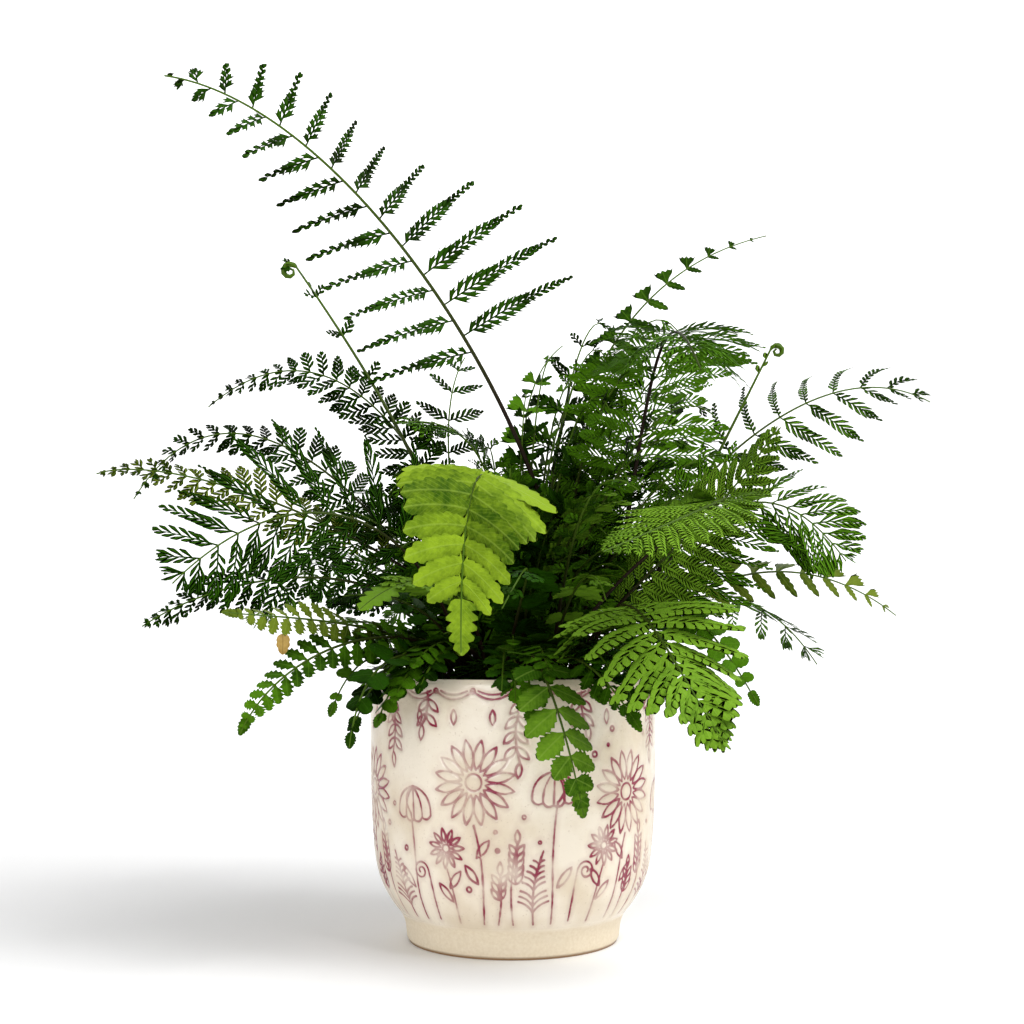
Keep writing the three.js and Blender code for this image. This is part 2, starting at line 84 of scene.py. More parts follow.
# %% [markdown]
# ## Helpers for colours, shader nodes and objects
# Colours are written as they look on a screen, and turned to the linear light that shaders work in.
# One function adds a node, sets it and links it. Short ones for the usual nodes build on it.


# %% Colour and node helpers
def linear(code):
    """The linear colour of an sRGB hex code."""
    values = [int(code[place : place + 2], 16) / 255 for place in (1, 3, 5)]
    return [((v + 0.055) / 1.055) ** 2.4 if v > 0.04045 else v / 12.92 for v in values] + [1]


def add(tree, kind, sockets=None, **properties):
    """Adds a node. Each of its sockets gets a fixed value, or a link from another node's output."""
    node = tree.nodes.new("ShaderNode" + kind)
    for name, value in properties.items():
        setattr(node, name, value)
    for name, value in (sockets or {}).items():
        if isinstance(value, bpy.types.NodeSocket):
            tree.links.new(value, node.inputs[name])
        else:
            node.inputs[name].default_value = value
    return node


def blend(tree, share, one, other):
    """The colour between two others, each a hex code or a socket, by a share from 0 to 1."""
    one, other = [linear(colour) if isinstance(colour, str) else colour for colour in (one, other)]
    return add(tree, "Mix", {0: share, 6: one, 7: other}, data_type="RGBA").outputs[2]


def patches(tree, where, scale, detail):
    """A noise from 0 to 1, with about so many patches in a metre."""
    return add(tree, "TexNoise", {"Vector": where, "Scale": scale, "Detail": detail}).outputs["Fac"]


def ramp(tree, value, start, end, low=0, high=1):
    """Turns the range from start to end into low to high, and holds the value beyond it."""
    sockets = {"Value": value, "From Min": start, "From Max": end, "To Min": low, "To Max": high}
    return add(tree, "MapRange", sockets).outputs[0]


def calculate(tree, operation, *values):
    """The outcome of a Math node. MULTIPLY_ADD is the first value times the second plus the third."""
    return add(tree, "Math", dict(enumerate(values)), operation=operation).outputs[0]


def read(tree, name):
    """The value of a mesh attribute."""
    return add(tree, "Attribute", attribute_name=name).outputs["Fac"]


def new_material(name, **shader):
    """A material with one Principled shader whose fixed values are given."""
    material = bpy.data.materials.new(name)
    material.use_nodes = True
    principled = material.node_tree.nodes["Principled BSDF"]
    for socket, value in shader.items():
        principled.inputs[socket.replace("_", " ")].default_value = value
    return material, material.node_tree, principled


def finish_skin(tree, principled, colour, height, strength, depth):
    """Gives a material its colour and, as bump, its fine relief, which is up to depth metres high."""
    relief = add(tree, "Bump", {"Height": height, "Strength": strength, "Distance": depth})
    tree.links.new(colour, principled.inputs["Base Color"])
    tree.links.new(relief.outputs[0], principled.inputs["Normal"])


# %% Object helper
def new_piece(name, data):
    """A new object of a mesh or a curve, selected and active."""
    piece = bpy.data.objects.new(name, data)
    bpy.context.collection.objects.link(piece)
    bpy.ops.object.select_all(action="DESELECT")
    piece.select_set(True)
    bpy.context.view_layer.objects.active = piece
    return piece


# %% [markdown]
# ## Living leaf
# A fern's leaflet is thin, with a waxy skin that gives a soft sheen, and no two have quite the same
# green. The attribute "tone" holds a number for every leaflet and every segment. Noise patches of
# about 10 mm mottle the blades, and a finer grain varies their green and roughens their skin. The UV
# map "blade" runs along a leaflet and across it, so the pale vein and its side veins can be drawn
# wherever the leaflet bends to. The margin is darker: painted shade, as between overlapping leaflets.
# A picture of a leaf would look the same on every blade and blur close by, and this does neither.

# %% Leaf materials
MOTTLE, GRAIN = (95, 4), (520, 3)
GRAIN_SHARE = 0.5
DARKEST, LIGHTEST = 0.88, 1.52
# painted shade: where the margin starts to darken, and how dark it gets at the edge
MARGIN_SHADE_FROM, MARGIN_SHADE = 0.62, 0.68
MIDLINE_SIDES, MIDLINE = (0.03, 0.09), 0.35
SIDE_VEINS, VEIN_SLANT, VEIN_FROM = 9, 0.35, 0.6
SKIN_STRENGTH, SKIN_DEPTH = 0.5, 0.0005


def leaf_material(name, dark, light, vein, side_veins=0):
    """A leaf's material from its two greens, its veins' colour and how strong the side veins are."""
    material, tree, principled = new_material(
        name, Roughness=0.45, IOR=1.42, Specular_IOR_Level=0.1, Specular_Tint=linear("#a9cc5a")
    )
    where = add(tree, "TexCoord").outputs["Object"]
    grain = patches(tree, where, *GRAIN)
    mottle = calculate(tree, "MULTIPLY_ADD", grain, GRAIN_SHARE, patches(tree, where, *MOTTLE))
    level = ramp(tree, calculate(tree, "ADD", read(tree, "tone"), mottle), DARKEST, LIGHTEST)
    blade = add(tree, "UVMap", uv_map="blade").outputs[0]
    parts = add(tree, "SeparateXYZ", {"Vector": blade})
    across = calculate(tree, "ABSOLUTE", parts.outputs["Y"])
    # painted shade: the blade darkens towards its margin, as where one leaflet shadows the next
    margin_shade = ramp(tree, across, MARGIN_SHADE_FROM, 1, high=MARGIN_SHADE)
    green = blend(tree, margin_shade, blend(tree, level, dark, light), dark)
    midline = ramp(tree, across, *MIDLINE_SIDES, MIDLINE, 0)
    slanted = calculate(tree, "MULTIPLY_ADD", across, -VEIN_SLANT, parts.outputs["X"])
    waves = calculate(tree, "SINE", calculate(tree, "MULTIPLY", slanted, 2 * math.pi * SIDE_VEINS))
    veins = calculate(tree, "MAXIMUM", midline, ramp(tree, waves, VEIN_FROM, 1, high=side_veins))
    colour, height = blend(tree, veins, green, vein), calculate(tree, "ADD", grain, veins)
    finish_skin(tree, principled, colour, height, SKIN_STRENGTH, SKIN_DEPTH)
    return material


LEAVES = {
    "dark": leaf_material("leaf_dark", "#071601", "#214506", "#2a480e"),
    "mid": leaf_material("leaf_mid", "#132d02", "#47730f", "#527a20", 0.12),
    "fresh": leaf_material("leaf_fresh", "#2a4c08", "#678e22", "#7d9c3e", 0.12),
    "lime": leaf_material("leaf_lime", "#2f4c0a", "#809c22", "#8aa340", 0.14),
    "olive": leaf_material("leaf_olive", "#283b06", "#5f701e", "#6f7d34", 0.12),
}
dry = leaf_material("leaf_dry", "#a07c38", "#dcc078", "#6b4d22")
print("leaf materials", sorted(LEAVES))

# %% [markdown]
# The stalks are nearly black and wiry where they leave the soil, and turn green towards the tip. The
# attribute "age" is 1 at a stalk's foot and 0 at its tip.

# %% Stalk material
GREEN_BELOW, DARK_FROM = 0.15, 0.6

stalk, tree, principled = new_material("stalk_wiry", Roughness=0.5, IOR=1.45, Specular_IOR_Level=0.12)
ripe = ramp(tree, read(tree, "age"), GREEN_BELOW, DARK_FROM)
tree.links.new(blend(tree, ripe, "#415c10", "#20150d"), principled.inputs["Base Color"])

# %% [markdown]
# ## Leaf blades, modelled once
# A leaflet could be a flat plane with a cut-out, but light would then find no thickness and no rim.
# Here every blade starts as a flat grid of unit length. Its columns are scaled to the blade's outline
# and its middle is raised, then a copy is turned over, flattened and merged with it at the rim. That
# gives a closed, sharp-edged blade of few faces, which is then copied thousands of times.


# %% Blade helpers
UNDERSIDE = 0.35
TINY, TINIER = 1e-4, 1e-5
AT_FOOT, NEAR_TIP, AT_TIP = 0.001, 0.97, 0.999


def choose(blade, test):
    """Selects the vertices whose place passes the test, in edit mode."""
    bpy.ops.mesh.select_all(action="DESELECT")
    bpy.ops.object.mode_set(mode="OBJECT")
    for vertex in blade.data.vertices:
        vertex.select = test(vertex.co)
    bpy.ops.object.mode_set(mode="EDIT")


def model_blade(name, outline, rise=0.1, rows=2, tip_shift=0.0, notch=0.0):
    """A blade from (0, 0, 0) to (1, 0, 0). Its outline gives for each column its place along the blade
    and its half widths towards -Y and +Y. At the end, tip_shift moves the middle along and notch draws
    every second point back, which leaves teeth between them."""
    bpy.ops.object.select_all(action="DESELECT")
    columns = len(outline)
    bpy.ops.mesh.primitive_grid_add(x_subdivisions=columns - 1, y_subdivisions=rows, size=2)
    blade = bpy.context.object
    blade.name = name
    bpy.ops.object.mode_set(mode="EDIT")
    for number in reversed(range(columns)):
        place, near, far = outline[number]
        start = 2 * number / (columns - 1) - 1
        for sign, half in ((-1, near), (1, far)):
            choose(blade, lambda co: abs(co.x - start) < TINY and co.y * sign > TINY)
            bpy.ops.transform.resize(value=(1, half, 1), center_override=(start, 0, 0))
        choose(blade, lambda co: abs(co.x - start) < TINY)
        bpy.ops.transform.translate(value=(place - start, 0, 0))
    raise_middle(blade, rise, rows)
    choose(blade, lambda co: co.x > AT_TIP and rank(co, blade) % 2)
    bpy.ops.transform.translate(value=(-notch, 0, 0))
    choose(blade, lambda co: abs(co.y) < TINY and co.x > AT_TIP)
    bpy.ops.transform.translate(value=(tip_shift, 0, 0))
    close_blade(blade)
    bpy.ops.object.mode_set(mode="OBJECT")
    points, faces = take_mesh(blade)
    print(f"{name}: {len(points)} points, {len(faces)} triangles")
    return points, faces


def raise_middle(blade, rise, rows):
    """Lifts the inner rows of the blade, away from its two ends."""
    for row in range(1, rows):
        level = abs(2 * row / rows - 1)
        choose(blade, lambda co: AT_FOOT < co.x < NEAR_TIP and rank(co, blade) == row)
        bpy.ops.transform.translate(value=(0, 0, rise * (1 - level**2)))


def rank(co, blade):
    """Which row of its column a vertex is in, counted from -Y."""
    column = sorted(v.co.y for v in blade.data.vertices if abs(v.co.x - co.x) < TINY)
    return min(range(len(column)), key=lambda place: abs(column[place] - co.y))


def close_blade(blade):
    """Adds the underside, a flatter copy that faces down, and merges the two rims."""
    bpy.ops.mesh.select_all(action="SELECT")
    bpy.ops.mesh.duplicate()
    bpy.ops.transform.resize(value=(1, 1, -UNDERSIDE), center_override=(0, 0, 0))
    bpy.ops.mesh.flip_normals()
    bpy.ops.mesh.select_all(action="SELECT")
    bpy.ops.mesh.remove_doubles(threshold=TINIER)


def take_mesh(piece):
    """The piece's points and triangles as arrays. The modelled piece itself is then removed."""
    mesh = piece.data
    points = np.array([vertex.co[:] for vertex in mesh.vertices])
    mesh.calc_loop_triangles()
    faces = np.array([triangle.vertices[:] for triangle in mesh.loop_triangles])
    bpy.data.objects.remove(piece)
    return points, faces


# %% [markdown]
# The cut leaflets are set with four kinds of segment: a needle, a spoon, a fork with two teeth, and a
# broad lobe. The whole leaflets have scalloped, toothed or smoothly waved edges.


# %% Segments of the cut leaflets
def even(*places):
    """An outline with equal sides, from pairs of a place and a half width."""
    return [(place, half, half) for place, half in places]


SEGMENTS = {
    "needle": model_blade("needle", even((0, 0.7), (0.65, 1), (1, 0.4)), 0.25),
    "spoon": model_blade("spoon", even((0, 0.32), (0.72, 1.12), (1, 0.5)), 0.25, tip_shift=0.04),
    "fork": model_blade(
        "fork", even((0, 0.35), (0.4, 0.75), (0.7, 1.2), (1, 1.5)), 0.25, rows=4, notch=0.42
    ),
    "lobe": model_blade("lobe", even((0, 0.9), (0.5, 1), (0.85, 0.9), (1, 0.45)), 0.12, tip_shift=0.06),
}
RIB = model_blade("rib", even((0, 1), (0.35, 0.8), (0.7, 0.55), (1, 0.25)), 0.9)


# %% Outlines of the whole leaflets
FIRST_TOOTH = 1.2
NARROWEST = 0.12
NARROW_SIDE = 0.9


def scalloped(teeth, depth, widest, foot, lean, blunt):
    """An outline of round-topped teeth: a valley and two crests a tooth. The half width swells to its
    greatest and then narrows. A low value of widest moves the greatest width towards the foot, and a
    low value of blunt keeps the blade broad almost to its end. One side is a bit narrower."""
    outline = [(0, foot, foot)]
    for number in range(3 * teeth):
        place = (number + FIRST_TOOTH) / (3 * teeth + FIRST_TOOTH)
        swell = max(NARROWEST, math.sin(math.pi * place**widest)) ** blunt
        bite = 1 - depth if number and number % 3 == 0 else 1
        outline.append((place + lean * (number % 3 == 0), NARROW_SIDE * swell * bite, swell * bite))
    return outline + even((1, NARROWEST))


def crested(bite, *crests):
    """An outline from its crests (place, half width), with a valley before each and a narrow foot."""
    places = [(0, 0.08)]
    before = (0.05, 0.12)
    for place, half in crests:
        places.append((0.6 * before[0] + 0.4 * place, 0.5 * (before[1] + half) * (1 - bite)))
        places.append((place, half))
        before = (place, half)
    return even(*places, (1, 0.14))


OUTLINES = {
    "rounded": scalloped(3, 0.12, 0.8, 0.2, -0.02, 0.45),
    "crenate": crested(0.38, (0.32, 0.75), (0.57, 1), (0.78, 0.86), (0.93, 0.5)),
    "ovate": crested(0.2, (0.22, 0.7), (0.38, 0.95), (0.54, 1), (0.7, 0.86), (0.83, 0.64), (0.94, 0.38)),
    "falcate": scalloped(6, 0.2, 0.85, 0.9, -0.02, 0.45),
    "toothed": scalloped(5, 0.38, 0.7, 0.4, -0.03, 0.5),
    "oblong": scalloped(4, 0.25, 0.8, 0.15, -0.03, 0.5),
    "fan": [(0, 0.12, 0.12), (0.3, 0.35, 0.4), (0.6, 0.8, 0.9), (1, 1, 1.15)],
}

# %% Whole leaflets
BUILDS = {
    "falcate": dict(rise=0.12, rows=4),
    "toothed": dict(rise=0.12, rows=4),
    "oblong": dict(rows=2),
    "fan": dict(rows=8, tip_shift=0.05, notch=0.14),
}
BLADES = {
    name: model_blade(name, outline, **BUILDS.get(name, dict(rows=4)))
    for name, outline in OUTLINES.items()
}

# %% [markdown]
# ## Every frond's place
# These are the fronds as the solids have them: how many pairs of leaflets, the greatest length, the
# share of bare stalk, the blade's turn about the midrib, and four steering points for the midrib.
# Each row starts with the kind of its solid's leaflets, its green, and the look of its real ones. The
# fronds could be placed by eye, but numbers in one table can be compared with the solids.
#
# These words are in the solids' table too:
# - fullest: a high value puts the longest leaflets near the midrib's foot
# - spread, sweep: the leaflets' angles at foot and tip, and how far the right ones are turned back
# - alternate: each right leaflet stands half a step further than its left one
# - droop, raised: how far leaflets hang, and how far those at the foot are lifted on either side
# - left, right: the share of its length that a side has
# - ending, coil: the length and half width of the last leaflet, or the radius of a coiled tip
#
# These are only the scene's, and fit the real leaflets to the photograph:
# - dense: how many leaflets stand where the solid has one
# - short, slim, grow: their length and width, and the length on either side
# - open, hang, play: a turn away from the tip, the real droop, and how unevenly they are lifted
# - pale: how much lighter than its green the frond is; on the dome this is partly painted light, for its
#   lit top
# - tip: the length and half width of the real last leaflet
# - stout, wiry: how much thicker the stalk is, and how much further up it stays dark

# %% Kinds of leaflets
KINDS = {
    "comb": dict(width=0.075, bend=0.06),
    "plume": dict(width=0.13, bend=0.14),
    "feather": dict(width=0.17, bend=0.14),
    "broad": dict(width=0.24, bend=0.16),
    "round": dict(width=0.36, bend=0.05),
    "wedge": dict(width=0.32, bend=0.1),
}
FOOT_LEVEL = 100


# %% Table of fronds
def entry(style, pairs, leaflet, bare, turn, foot, *points, **more):
    """A row of the table as a dictionary. Every stalk's foot is at the same level in the soil."""
    kind, green, look = style.split()
    midrib = [(*foot, FOOT_LEVEL), *points]
    row = dict(kind=kind, green=green, look=look, pairs=pairs, leaflet=leaflet, bare=bare, turn=turn)
    return {"midrib": midrib, **row, "dense": 1, **more}


FRONDS = {
    "tall": entry(
        "comb dark forked", 13, 60, 0.49, -78, (26, 8), (55, 25, 199), (-69, -20, 414), (-173, -36, 420),
        fullest=0.62, spread=(80, 60), sweep=6, droop=0.16, right=1.36, alternate=True, stout=1.4,
    ),
    "young": entry(
        "feather dark needles", 6, 12, 0.5, -60, (-14, -4), (-16, -10, 188), (-61, -18, 262),
        (-106, -28, 326), coil=4, stout=1.5,
    ),
    "left_high": entry(
        "feather dark needles", 11, 30, 0.4, -58, (-16, 16), (1, 12, 160), (-73, 42, 350), (-166, 50, 269),
        fullest=0.5, dense=2, pale=-0.15, short=0.75,
    ),
    "left_branch": entry(
        "feather dark needles", 10, 26, 0.4, -52, (-20, 6), (-11, -15, 157), (-141, 38, 324),
        (-195, 14, 215), fullest=0.45, dense=2, pale=-0.15, short=0.75,
    ),
    "left_long": entry(
        "feather olive needles", 10, 24, 0.44, -50, (-6, 4), (24, -2, 165), (-160, -21, 243),
        (-203, -26, 224), dense=2, short=0.75,
    ),
    "left_fan": entry(
        "plume dark open", 8, 48, 0.4, -66, (-19, -12), (-27, -39, 204), (-96, -55, 233), (-149, -90, 168),
        play=0.06, dense=1.5, hang=-0.04, open=-4, pale=0.3,
    ),
    "left_low": entry(
        "feather dark needles", 9, 24, 0.4, -48, (-30, -2), (-21, -16, 192), (-125, -41, 185),
        (-174, -44, 150), dense=2, short=0.8,
    ),
    "left_olive": entry(
        "round olive crenate", 7, 13, 0.5, -50, (-27, -11), (-10, -10, 155), (-95, -90, 153),
        (-123, -108, 156), dense=2, short=0.85, tip=(10, 2.6),
    ),
    "left_hanging": entry(
        "round mid crenate", 8, 15, 0.42, -45, (-20, -19), (-17, -35, 166), (-96, -97, 154),
        (-116, -100, 104), droop=0.04, dense=2, short=0.85, tip=(10, 2.6),
    ),
    "rim_left": entry(
        "round dark rounded", 6, 11, 0.4, -20, (-20, -28), (-24, -48, 140), (-64, -92, 160), (-70, -95, 98),
        droop=0.04, tip=(8, 2.6),
    ),
    "rim_left_small": entry(
        "round mid rounded", 5, 9, 0.4, -20, (-26, -20), (-34, -38, 132), (-68, -60, 160), (-82, -68, 110),
        droop=0.04, tip=(8, 2.6),
    ),
    "lime": entry(
        "broad lime falcate", 9, 37, 0.57, -8, (-3, -16), (3, 6, 236), (-24, -103, 264), (-21, -132, 138),
        fullest=0.5, spread=(82, 60), sweep=12, droop=0.12, ending=(24, 6), raised=(-6, 16),
    ),
    "pale_left": entry(
        "broad fresh lobed", 4, 16, 0.5, -10, (-14, -22), (-6, -34, 151), (-30, -68, 193), (-66, -98, 157),
        ending=(20, 5), dense=2, pale=0.6, tip=(24, 8),
    ),
    "front_hanging": entry(
        "round fresh ovate", 9, 20, 0.36, 0, (-2, -31), (0, -64, 178), (20, -109, 122), (30, -96, 69),
        droop=0.04, short=0.9, pale=-0.2, tip=(15, 4),
    ),
    "front_toothed": entry(
        "round mid crenate", 6, 16, 0.42, 10, (10, -30), (10, -48, 149), (31, -89, 147), (55, -92, 105),
        droop=0.04, dense=2, short=0.9, tip=(12, 3.2),
    ),
    "front_bright": entry(
        "broad fresh lobed", 8, 44, 0.42, 14, (28, -24), (50, -28, 207), (56, -119, 148), (88, -118, 100),
        fullest=0.56, spread=(80, 46), droop=0.12, dense=2, pale=0.35, slim=0.8,
    ),
    "right_round": entry(
        "round mid rounded", 8, 10, 0.5, 60, (26, -10), (67, -20, 165), (78, -39, 182), (113, -50, 114),
        droop=0.04, tip=(8, 2.4),
    ),
    "right_olive": entry(
        "wedge olive wedge", 10, 16, 0.42, 50, (36, -3), (57, 4, 167), (137, 25, 207), (195, 12, 156)
    ),
    "feather_up": entry(
        "feather fresh comb", 9, 34, 0.4, 55, (17, -4), (31, -16, 163), (93, -46, 189), (122, -62, 243),
        play=0.06, dense=2, pale=0.3,
    ),
    "feather_front": entry(
        "feather fresh comb", 10, 34, 0.5, 10, (16, -34), (11, -62, 186), (181, -44, 244), (35, -142, 179),
        droop=0.25, play=0.06, dense=2, pale=0.3, hang=0.1, short=0.85,
    ),
    "right_open": entry(
        "plume mid open", 8, 46, 0.42, 60, (22, -8), (50, -19, 138), (105, -11, 270), (160, -30, 181),
        dense=2, pale=0.35,
    ),
    "right_top": entry(
        "feather mid needles", 8, 46, 0.58, 50, (26, 14), (32, 22, 162), (150, 61, 321), (231, 62, 274),
        fullest=0.4, droop=0.25, left=0.4, slim=0.7, grow=(2.5, 0.75), hang=0.12, pale=-0.3,
    ),
    "right_upright": entry(
        "wedge mid wedge", 11, 14, 0.5, 60, (14, 16), (10, 17, 199), (30, 59, 343), (144, 70, 371),
        short=0.8, pale=-0.5,
    ),
    "crozier": entry(
        "round fresh rounded", 0, 0, 1, 0, (30, 13), (66, 16, 162), (102, 18, 232), (134, 16, 295),
        coil=3.4, stout=1.5,
    ),
    "dome": entry(
        "plume mid spoons", 11, 50, 0.3, 0, (34, 0), (64, 14, 188), (73, 34, 362), (80, -112, 258),
        # the dome's pale is partly painted light: its whole blade is lightened, as its top is lit
        droop=0.35, dense=3, pale=0.7, stout=1.4, wiry=0.35,
    ),
    "back_thin": entry(
        "feather dark needles", 6, 26, 0.5, 0, (-6, 16), (-21, 51, 158), (-49, 30, 256), (-27, 86, 305)
    ),
    "inner_left": entry(
        "feather mid spoons", 8, 30, 0.5, -20, (-12, 2), (-11, 3, 135), (15, 14, 269), (-57, -26, 249),
        droop=0.25, dense=2,
    ),
    "inner_back": entry(
        "wedge mid wedge", 6, 13, 0.5, 20, (8, 24), (25, 20, 142), (-20, 53, 270), (29, 82, 311)
    ),
    "inner_bright": entry(
        "wedge mid spoons", 5, 13, 0.5, 10, (6, -14), (25, 4, 104), (17, -91, 244), (55, -98, 208),
        dense=2, short=0.9, slim=0.6,
    ),
    "inner_olive": entry(
        "broad fresh oak", 4, 14, 0.5, 0, (12, -22), (16, -24, 140), (33, -71, 198), (40, -96, 161),
        short=0.75,
    ),
    "inner_low": entry(
        "round dark oak", 6, 14, 0.4, 0, (-8, -26), (-4, -30, 150), (20, -88, 205), (-5, -108, 157),
        droop=0.04,
    ),
    "back_left": entry(
        "feather mid open", 7, 36, 0.38, 0, (-24, 14), (-50, 40, 200), (-110, 95, 215), (-150, 110, 150)
    ),
    "back_left_high": entry(
        "feather dark needles", 7, 36, 0.42, 0, (-10, 24), (-30, 60, 220), (-70, 110, 260), (-95, 150, 190)
    ),
    "back_middle": entry(
        "feather mid open", 7, 36, 0.38, 0, (0, 30), (-5, 80, 210), (0, 130, 230), (5, 165, 150)
    ),
    "back_right": entry(
        "feather dark spoons", 7, 36, 0.38, 0, (18, 26), (45, 70, 210), (90, 120, 220), (120, 140, 150)
    ),
    "back_right_low": entry(
        "feather mid open", 7, 32, 0.38, 0, (30, 18), (70, 40, 180), (130, 75, 190), (170, 85, 130)
    ),
    "back_rim_left": entry(
        "round mid crenate", 6, 15, 0.42, 0, (-14, 30), (-32, 58, 166), (-58, 92, 156), (-70, 108, 95),
        droop=0.04,
    ),
    "back_rim_right": entry(
        "round fresh crenate", 6, 15, 0.42, 0, (10, 32), (28, 66, 168), (50, 100, 152), (60, 115, 90),
        droop=0.04,
    ),
}
print("fronds", len(FRONDS))

# %% [markdown]
# ## Along a midrib
# A midrib is a Bezier curve, and a young one ends in a flat coil. Leaflets could follow it through a
# Curve modifier, but they also have to meet the solid's corners. So the curve is worked out here: at
# any share of its length it has a place, a way ahead, a left side and an upper side, and leaflets are
# laid out from those.


# %% Midribs
COIL_SHARE = 0.13
COIL_TURNS = 1.3
COIL_SHRINK = 0.7
NO_COIL = 0.999
SAMPLES, SMALL_STEP = 201, 1e-4


def unit(ways):
    """The same ways, each with a length of one."""
    return ways / np.linalg.norm(ways, axis=-1, keepdims=True)


class Midrib:
    """A frond's midrib, from its four steering points, its blade's turn and its coil's radius."""

    def __init__(self, points, turn, coil):
        self.points = np.array(points, float)
        self.turn, self.coil = math.radians(turn), coil
        way = self.points[3] - self.points[0]
        self.sideways = unit(np.array((-way[1], way[0], 0.0)))
        self.times = np.linspace(0, 1, SAMPLES)
        chords = np.linalg.norm(np.diff(self.at_time(self.times), axis=0), axis=1)
        self.lengths = np.append(0, np.cumsum(chords))
        self.length = self.lengths[-1]

    def at_time(self, times):
        """Places on the curve, which don't lie evenly along it."""
        coiled = np.clip((times - 1 + COIL_SHARE) / COIL_SHARE, 0, 1)[:, None] if self.coil else 0
        t = (np.minimum(times / (1 - COIL_SHARE), 1) if self.coil else times)[:, None]
        a, b, c, d = self.points
        stem = (1 - t) ** 3 * a + 3 * t * (1 - t) ** 2 * b + 3 * t * t * (1 - t) * c + t**3 * d
        if not self.coil:
            return stem
        ahead = unit(d - c)
        inwards = unit(np.cross(self.sideways, ahead))
        radius = self.coil * (1 - COIL_SHRINK * coiled)
        angle = COIL_TURNS * 2 * math.pi * coiled
        return stem + (self.coil - radius * np.cos(angle)) * inwards + radius * np.sin(angle) * ahead

    def coil_start(self):
        """The share of the length at which the coil begins."""
        return np.interp(1 - COIL_SHARE, self.times, self.lengths) / self.length if self.coil else NO_COIL

    def rows(self, shares):
        """Places, ways ahead, left sides and upper sides at these shares of the length."""
        times = np.interp(np.asarray(shares) * self.length, self.lengths, self.times)
        later, sooner = np.minimum(times + SMALL_STEP, 1), np.maximum(times - SMALL_STEP, 0)
        ahead = unit(self.at_time(later) - self.at_time(sooner))
        left = unit(self.sideways - ahead * (ahead @ self.sideways)[:, None])
        left = left * math.cos(self.turn) + np.cross(ahead, left) * math.sin(self.turn)
        return self.at_time(times), ahead, left, np.cross(ahead, left)


# %% Where the leaflets stand
CROWDING = 1.15
LEAFLET_FOOT = 0.8
DROOP = 0.15
MOST_WIDTH = 0.44
MOST_DENSE_WIDTH = 0.62 * MOST_WIDTH
SPREAD, FULLEST = (74, 48), 0.3
LAST_SWELL = 0.92
UNEVEN_ANGLE, UNEVEN_REACH = 4, 0.08


def wobble(number, frond_number):
    """A steady variation from leaflet to leaflet, between -1 and 1."""
    return math.sin(12.9898 * number + 4.1414 * frond_number)


def leaflet_places(frond, frond_number, midrib):
    """Every leaflet of a frond, in order. Those between two of the solid's have no pair number."""
    kind, pairs, dense = KINDS[frond["kind"]], frond["pairs"], frond["dense"]
    ending = frond.get("ending")
    end = 1 - ending[0] / midrib.length if ending else 1
    share_at = lambda step: end + (frond["bare"] - end) * max(0, 1 - step / pairs) ** CROWDING
    between = lambda values, step: values[0] + (values[1] - values[0]) * step / pairs
    places = []
    for number in range(int(pairs * dense)):
        for side in (0, 1):
            pair = number / dense
            step = pair + (0.5 if frond.get("alternate") and side else 0)
            vary = wobble(2 * pair + side, frond_number)
            swept = frond.get("sweep", 0) * (1 if side else -1)
            degrees = between(frond.get("spread", SPREAD), step) + swept + UNEVEN_ANGLE * vary
            angle = math.radians(degrees)
            phase = between((frond.get("fullest", FULLEST), LAST_SWELL if ending else 1), step)
            longest = frond["leaflet"] * frond.get(("left", "right")[side], 1)
            reach = longest * math.sin(math.pi * phase) * (1 + UNEVEN_REACH * vary)
            spacing = (share_at(step + 1) - share_at(step)) * midrib.length
            most = (MOST_WIDTH if dense == 1 else MOST_DENSE_WIDTH) * spacing * math.sin(angle)
            spot = dict(side=side, angle=angle, reach=reach, vary=vary)
            spot["width"] = min(most, kind["width"] * reach)
            spot["share"] = share_at(step) - LEAFLET_FOOT / midrib.length
            spot["raised"] = math.radians(frond.get("raised", (0, 0))[side] * (1 - step / pairs))
            spot["pair"] = pair if pair == int(pair) else None
            places.append(spot)
    return places


# %% [markdown]
# ## Laying points out on a leaflet
# A leaflet leaves the midrib at its angle, bends towards the frond's tip and droops. Anything that is
# modelled flat, by its distance along, across and above a leaflet, is laid out on that bent blade.


# %% On a leaflet
LIFT_PLAY = 0.26


def on_leaflet(row, spot, frond, flat):
    """Lays points out: flat holds their places along, across and above a leaflet, in mm."""
    place, ahead, left, up = row
    sign = -1 if spot["side"] else 1
    kind = KINDS[frond["kind"]]
    share, lift = spot["fit"]
    lift += frond.get("play", LIFT_PLAY) * spot["play"] + spot["raised"]
    way = ahead * math.cos(spot["angle"]) + left * sign * math.sin(spot["angle"])
    way = way * math.cos(lift) + up * math.sin(lift)
    curl = ahead * kind["bend"] - np.array((0, 0, frond.get("droop", DROOP)))
    reach = spot["reach"] * share
    part = flat[:, :1] / reach
    heading = unit(way + 2 * curl * part)
    wide = unit(ahead - heading * (heading @ ahead)[:, None])
    normal = np.cross(wide, heading) * sign
    bent = place + way * flat[:, :1] + curl * reach * part**2
    return bent + wide * flat[:, 1:2] + normal * flat[:, 2:]


# %% What the solid has
# each choice is a share of the leaflet's length and the degrees by which it is lifted
FITS = [(1, 0), (1, 14), (1, -14), (0.8, 0), (0.8, 22), (0.8, -22)]
FITS += [(0.6, 0), (0.6, 26), (0.6, -26), (0.42, 0), (0.42, 30), (0.42, -30)]
NEAR_CORNER = 0.25
LEAST_REACH = 1.5
TIP_PART = 0.7
TIP_FIT = (0.8, 0.0)


